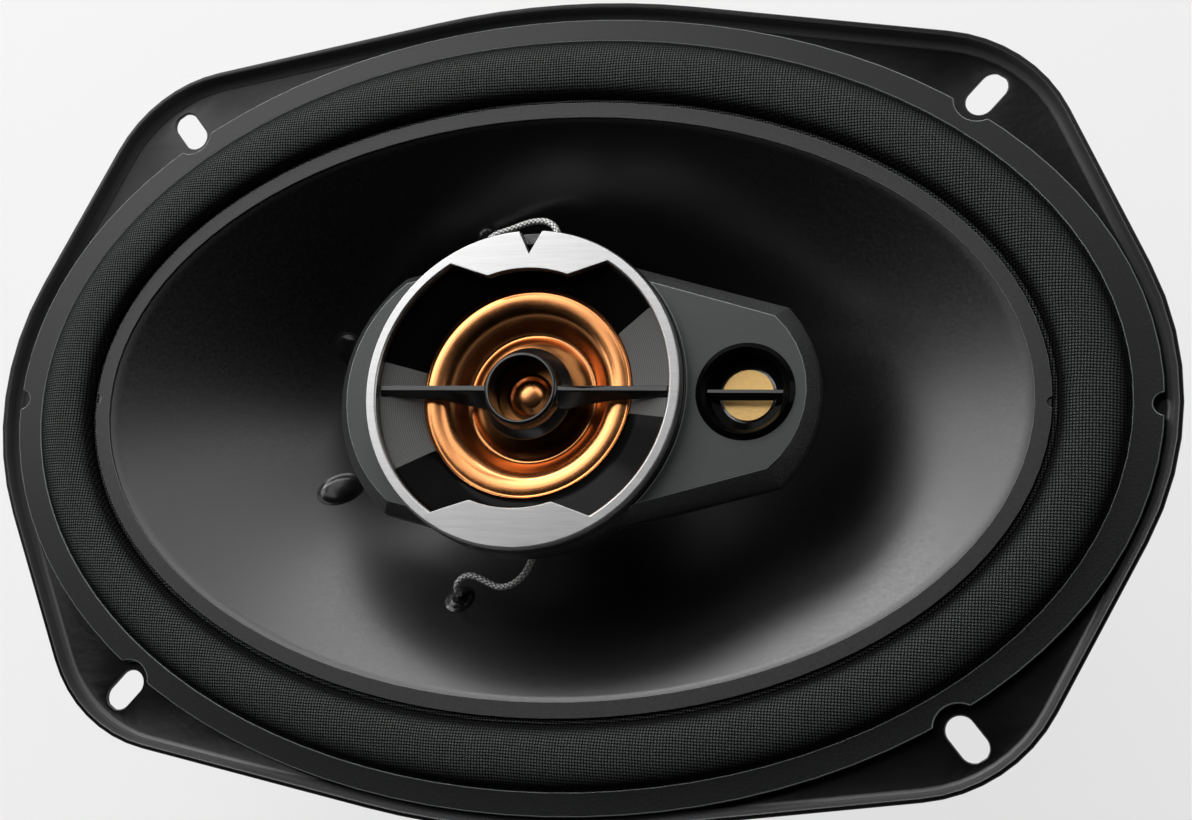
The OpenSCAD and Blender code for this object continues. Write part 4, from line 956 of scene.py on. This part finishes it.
class SPEAKER_OT_gasket(Maker, bpy.types.Operator):
    """Dresses the foam gasket on the flange"""

    bl_idname = "speaker.gasket"
    bl_label = "Gasket"

    def make(self, sizes):
        dressed("gasket", "gasket_ring", edge=0.0003, reshape=lambda bm: self.relieve(bm, sizes.relief))

    def relieve(self, bm, radius):
        """Cuts the same round relief at the two left slots that the right ones have."""
        for side in (-1, 1):
            centre = Vector((RELIEF_PLACE[0], side * RELIEF_PLACE[1]))
            wall = [edge for edge in bm.edges if self.on_wall(edge, centre, radius)]
            tangent = Vector((0, 0))
            for edge in wall:
                way = (edge.verts[1].co - edge.verts[0].co).xy
                tangent += way if way.x > 0 else -way
            tangent.normalize()
            inward = Vector((tangent.y, -tangent.x)) * side
            bmesh.ops.subdivide_edges(bm, edges=wall, cuts=16, use_grid_fill=True, use_single_edge=True)
            for v in bm.verts:
                off = v.co.xy - centre
                if off.length < radius:
                    deep = off.dot(inward)
                    half = (radius ** 2 - deep ** 2) ** 0.5
                    turn = atan2(half, deep) * off.dot(tangent) / half
                    v.co.xy = centre + (tangent * sin(turn) + inward * cos(turn)) * radius

    def on_wall(self, edge, centre, radius):
        """Whether an edge runs along the outer wall and comes near the relief."""
        a, b = (v.co for v in edge.verts)
        level = sorted(abs(face.normal.z) for face in edge.link_faces)
        if abs(a.z - b.z) > 1e-6 or len(level) != 2 or level[0] > 0.1 or level[1] < 0.9:
            return False
        way = (b - a).xy
        share = min(1.0, max(0.0, (centre - a.xy).dot(way) / way.length_squared))
        outer = min((v.co.x / GASKET_TOP.x) ** 2 + (v.co.y / GASKET_TOP.y) ** 2 for v in edge.verts)
        return outer > 0.9 and (a.xy + way * share - centre).length < radius


class SPEAKER_OT_surround(Maker, bpy.types.Operator):
    """Moulds the woven half-roll surround"""

    bl_idname = "speaker.surround"
    bl_label = "Surround"

    def make(self, sizes):
        out_z = GASKET_TOP.z - GASKET_THICK + sizes.cloth / 2
        in_z = CONE_TOP.z - CONE_THICK - SOFT_GAP - sizes.cloth / 2
        roll = Shape.roll_width - sizes.bead_width
        # The line runs inwards from the opening: the glued rim, the roll, the bead, the glued lip.
        line = [(-0.0022, out_z), (-0.001, out_z), (-0.0002, out_z)]
        steps = 32
        for i in range(1, steps):
            share = (1 - cos(pi * i / steps)) / 2
            lift = sin(pi * i / steps) ** 0.9
            line.append((roll * share, out_z + (in_z - out_z) * share + sizes.roll_height * lift))
        foot = roll + 0.00005
        line += [(foot, in_z), (foot + 0.00022, in_z - 0.00005)]
        for i in range(1, 7):
            line.append((foot + 0.00022 + 0.00086 * i / 6, in_z + 0.00038 * sin(pi * i / 7)))
        line += [(foot + 0.0013, in_z - 0.00002), (Shape.roll_width + Shape.lip_width - 0.0006, in_z)]
        outline = ribbon([(Shape.open_y - p, z) for p, z in line], sizes.cloth)
        bm = spun(outline, 240, lambda r: Shape.stretch)
        piece = stand("surround_roll", bm, "surround_cloth", ["surround"], 40)
        eased_blend(piece, lambda r: (Shape.open_y - r) / roll)


class SPEAKER_OT_cone(Maker, bpy.types.Operator):
    """Moulds the cone and dresses the lip, former, coil and dust seal that are glued to it"""

    bl_idname = "speaker.cone"
    bl_label = "Cone"

    def make(self, sizes):
        rows = 36
        rim = (Shape.rim_y - SOFT_GAP, Shape.cone_y + 0.0002)
        upper = [(r, Shape.top) for r in rim]
        lower = [(r, Shape.top - CONE_THICK) for r in rim]
        for i in range(rows + 1):
            s = i / rows
            r = Shape.cone_y + (Shape.neck + GLUE_LINE - Shape.cone_y) * s
            z = Shape.cone_height(s)
            upper.append((r, z))
            lower.append((r, z - CONE_THICK * (1 + 0.5 * s)))
        bm = spun(upper + lower[::-1], 240, Shape.widen_cone)
        ride(stand("cone_body", bm, "cone_polymer", ["cone"], 50), "cone")
        dressed("cone_ring", "cone_lip", edge=0.00014)
        dressed("coil_former", "former_tube", edge=0)
        dressed("voice_coil", "voice_winding", edge=0.0001)
        dressed("dust_seal", "neck_seal", edge=0.0003)


class SPEAKER_OT_glue(Maker, bpy.types.Operator):
    """Sets the glue over the lead eyelets and the coil's ends"""

    bl_idname = "speaker.glue"
    bl_label = "Glue"

    def make(self, sizes):
        for name, side in (("lower", -1), ("upper", 1)):
            self.drop(name + "_eyelet", side, *EYELET_DROP)
            self.drop(name + "_patch", side, *PATCH_DROP)
        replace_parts(bpy.data.objects["upper_eyelet"], "lead_eyelets")
        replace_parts(bpy.data.objects["upper_patch"], "glue_patches")

    def drop(self, name, side, s, turn, half):
        """Sets a domed drop of those half sizes on the cone, a share s of the way to the neck."""
        line = [
            (0, 0.92), (0.3, 0.9), (0.55, 0.78), (0.74, 0.55), (0.84, 0.3), (0.9, 0.16), (1.0, 0.08),
            (1.06, 0.0), (1.0, -0.1), (0, -0.1),
        ]
        bm = spun([(r * half[0], z * half[2]) for r, z in line], 40)
        bmesh.ops.scale(bm, vec=(1, half[1] / half[0], 1), verts=bm.verts)
        bmesh.ops.translate(bm, vec=(0, 0, 0.0001), verts=bm.verts)
        bmesh.ops.transform(bm, matrix=Shape.on_cone(s, side * turn), verts=bm.verts)
        ride(stand(name, bm, "glue", [], 60), "cone")


class SPEAKER_OT_spider(Maker, bpy.types.Operator):
    """Moulds the corrugated spider"""

    bl_idname = "speaker.spider"
    bl_label = "Spider"

    def make(self, sizes):
        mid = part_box("spider")
        flat_z = (mid[0].z + mid[1].z) / 2
        inner, outer = Shape.neck + SOFT_GAP, mid[1].x
        start, end = inner + SPIDER_COLLAR, outer - SPIDER_RIM
        count = 12 * sizes.spider_waves
        line = [(inner, flat_z), (inner + 0.0012, flat_z), (start, flat_z)]
        for i in range(1, count):
            x = i / count
            wave = SPIDER_WAVE * sin(2 * pi * sizes.spider_waves * x)
            line.append((start + (end - start) * x, flat_z - wave))
        line += [(end, flat_z), (end + 0.002, flat_z), (outer, flat_z)]
        bm = spun(ribbon(line, SPIDER_THICK), 144, lambda r: 0.0)
        piece = stand("spider_disc", bm, "spider_cloth", ["spider"], 60)
        eased_blend(piece, lambda r: (end - r) / (end - start))


class SPEAKER_OT_motor(Maker, bpy.types.Operator):
    """Dresses the front plate, the magnet and the yoke"""

    bl_idname = "speaker.motor"
    bl_label = "Motor"

    def make(self, sizes):
        dressed("front_plate", "top_plate", edge=0.0005)
        dressed("magnet", "magnet_ring", edge=0.0008)
        dressed("yoke", "back_plate", edge=0.0006)


class SPEAKER_OT_terminals(Maker, bpy.types.Operator):
    """Dresses the terminal board, its rivet and its blades"""

    bl_idname = "speaker.terminals"
    bl_label = "Terminals"

    def make(self, sizes):
        dressed("terminal_board", "terminal_plate", edge=0.0002)
        dressed("terminal_rivet", "plate_rivet", edge=0.0002)
        dressed("positive_blade", "wide_blade", edge=0.0001)
        dressed("negative_blade", "narrow_blade", edge=0.0001)


class SPEAKER_OT_bridge(Maker, bpy.types.Operator):
    """Dresses the bridge that carries both tweeters, its post and its screws"""

    bl_idname = "speaker.bridge"
    bl_label = "Bridge"

    def make(self, sizes):
        dressed("bridge_housing", "bridge_cover", edge=0.00022, sharp=20)
        dressed("bridge_base", "bridge_underside")
        dressed("bridge_post", "centre_post")
        dressed("bridge_screw", "post_screw", edge=0.0002)
        dressed("base_screws", "cover_screws", edge=0.0002)
        repaint("capacitors")


class SPEAKER_OT_trim(Maker, bpy.types.Operator):
    """Dresses the brushed trim ring and the grooved bezel inside it"""

    bl_idname = "speaker.trim"
    bl_label = "Trim ring"

    def make(self, sizes):
        dressed("trim_ring", "trim_plate", edge=0.00014)
        dressed("bezel", "bezel_funnel", edge=0.0001, sharp=20)


class SPEAKER_OT_tweeter(Maker, bpy.types.Operator):
    """Forms the tweeter's balanced dome and dresses the guard over it"""

    bl_idname = "speaker.tweeter"
    bl_label = "Tweeter"

    def make(self, sizes):
        line = [(r * MM, DOME_TOP.z + z * MM) for r, z in DOME_LINE]
        below = [(r, z - DOME_THICK) for r, z in line]
        bm = spun(line + below[::-1], 128, lambda r: 0.0)
        piece = stand("balanced_dome", bm, "diaphragm_film", ["tweeter_diaphragm"], 60)
        eased_blend(
            piece, lambda r: (DOME_HELD - r) / DOME_FREEING
        )
        dressed("diaphragm_rim", "dome_clamp", edge=0)
        dressed("crossbar", "dome_guard", edge=0.00018)
        repaint("tweeter_coil", "tweeter_pole", "tweeter_magnet", "tweeter_yoke")


class SPEAKER_OT_super_tweeter(Maker, bpy.types.Operator):
    """Dresses the small super tweeter in the arm of the bridge"""

    bl_idname = "speaker.super_tweeter"
    bl_label = "Super tweeter"

    def make(self, sizes):
        dressed("super_tweeter_cup", "super_cup", edge=0.0001, sharp=20)
        dressed("super_tweeter_bar", "super_bar", edge=0.0001)
        dressed("super_tweeter_disc", "super_disc", edge=0.00008)
        repaint("super_tweeter_coil", "super_tweeter_magnet", "super_tweeter_yoke")


OPERATORS = (
    SPEAKER_OT_studio, SPEAKER_OT_leads, SPEAKER_OT_basket, SPEAKER_OT_gasket, SPEAKER_OT_surround,
    SPEAKER_OT_cone, SPEAKER_OT_glue, SPEAKER_OT_spider, SPEAKER_OT_motor, SPEAKER_OT_terminals,
    SPEAKER_OT_bridge, SPEAKER_OT_trim, SPEAKER_OT_tweeter, SPEAKER_OT_super_tweeter,
)


class SPEAKER_PT_panel(bpy.types.Panel):
    """Lists the speaker's settings and makers"""

    bl_label = "Speaker"
    bl_space_type = "VIEW_3D"
    bl_region_type = "UI"
    bl_category = "Speaker"

    def draw(self, context):
        for name, group in GROUPS.items():
            box = self.layout.box()
            for setting in group.__annotations__:
                box.prop(getattr(context.scene, name), setting)
        for operator in OPERATORS:
            self.layout.operator(operator.bl_idname)


GROUPS = {
    "speaker_sizes": SpeakerSizes,
    "speaker_colours": SpeakerColours,
    "speaker_studio": SpeakerStudio,
}


def register():
    for group in GROUPS.values():
        bpy.utils.register_class(group)
    for name, group in GROUPS.items():
        setattr(bpy.types.Scene, name, PointerProperty(type=group))
    for made in (*OPERATORS, SPEAKER_PT_panel):
        bpy.utils.register_class(made)


def unregister():
    for made in (SPEAKER_PT_panel, *reversed(OPERATORS)):
        bpy.utils.unregister_class(made)
    for name in GROUPS:
        delattr(bpy.types.Scene, name)
    for group in reversed(list(GROUPS.values())):
        bpy.utils.unregister_class(group)


def main():
    register()
    for operator in OPERATORS:
        family, name = operator.bl_idname.split(".")
        getattr(getattr(bpy.ops, family), name)()


if __name__ == "__main__":
    main()
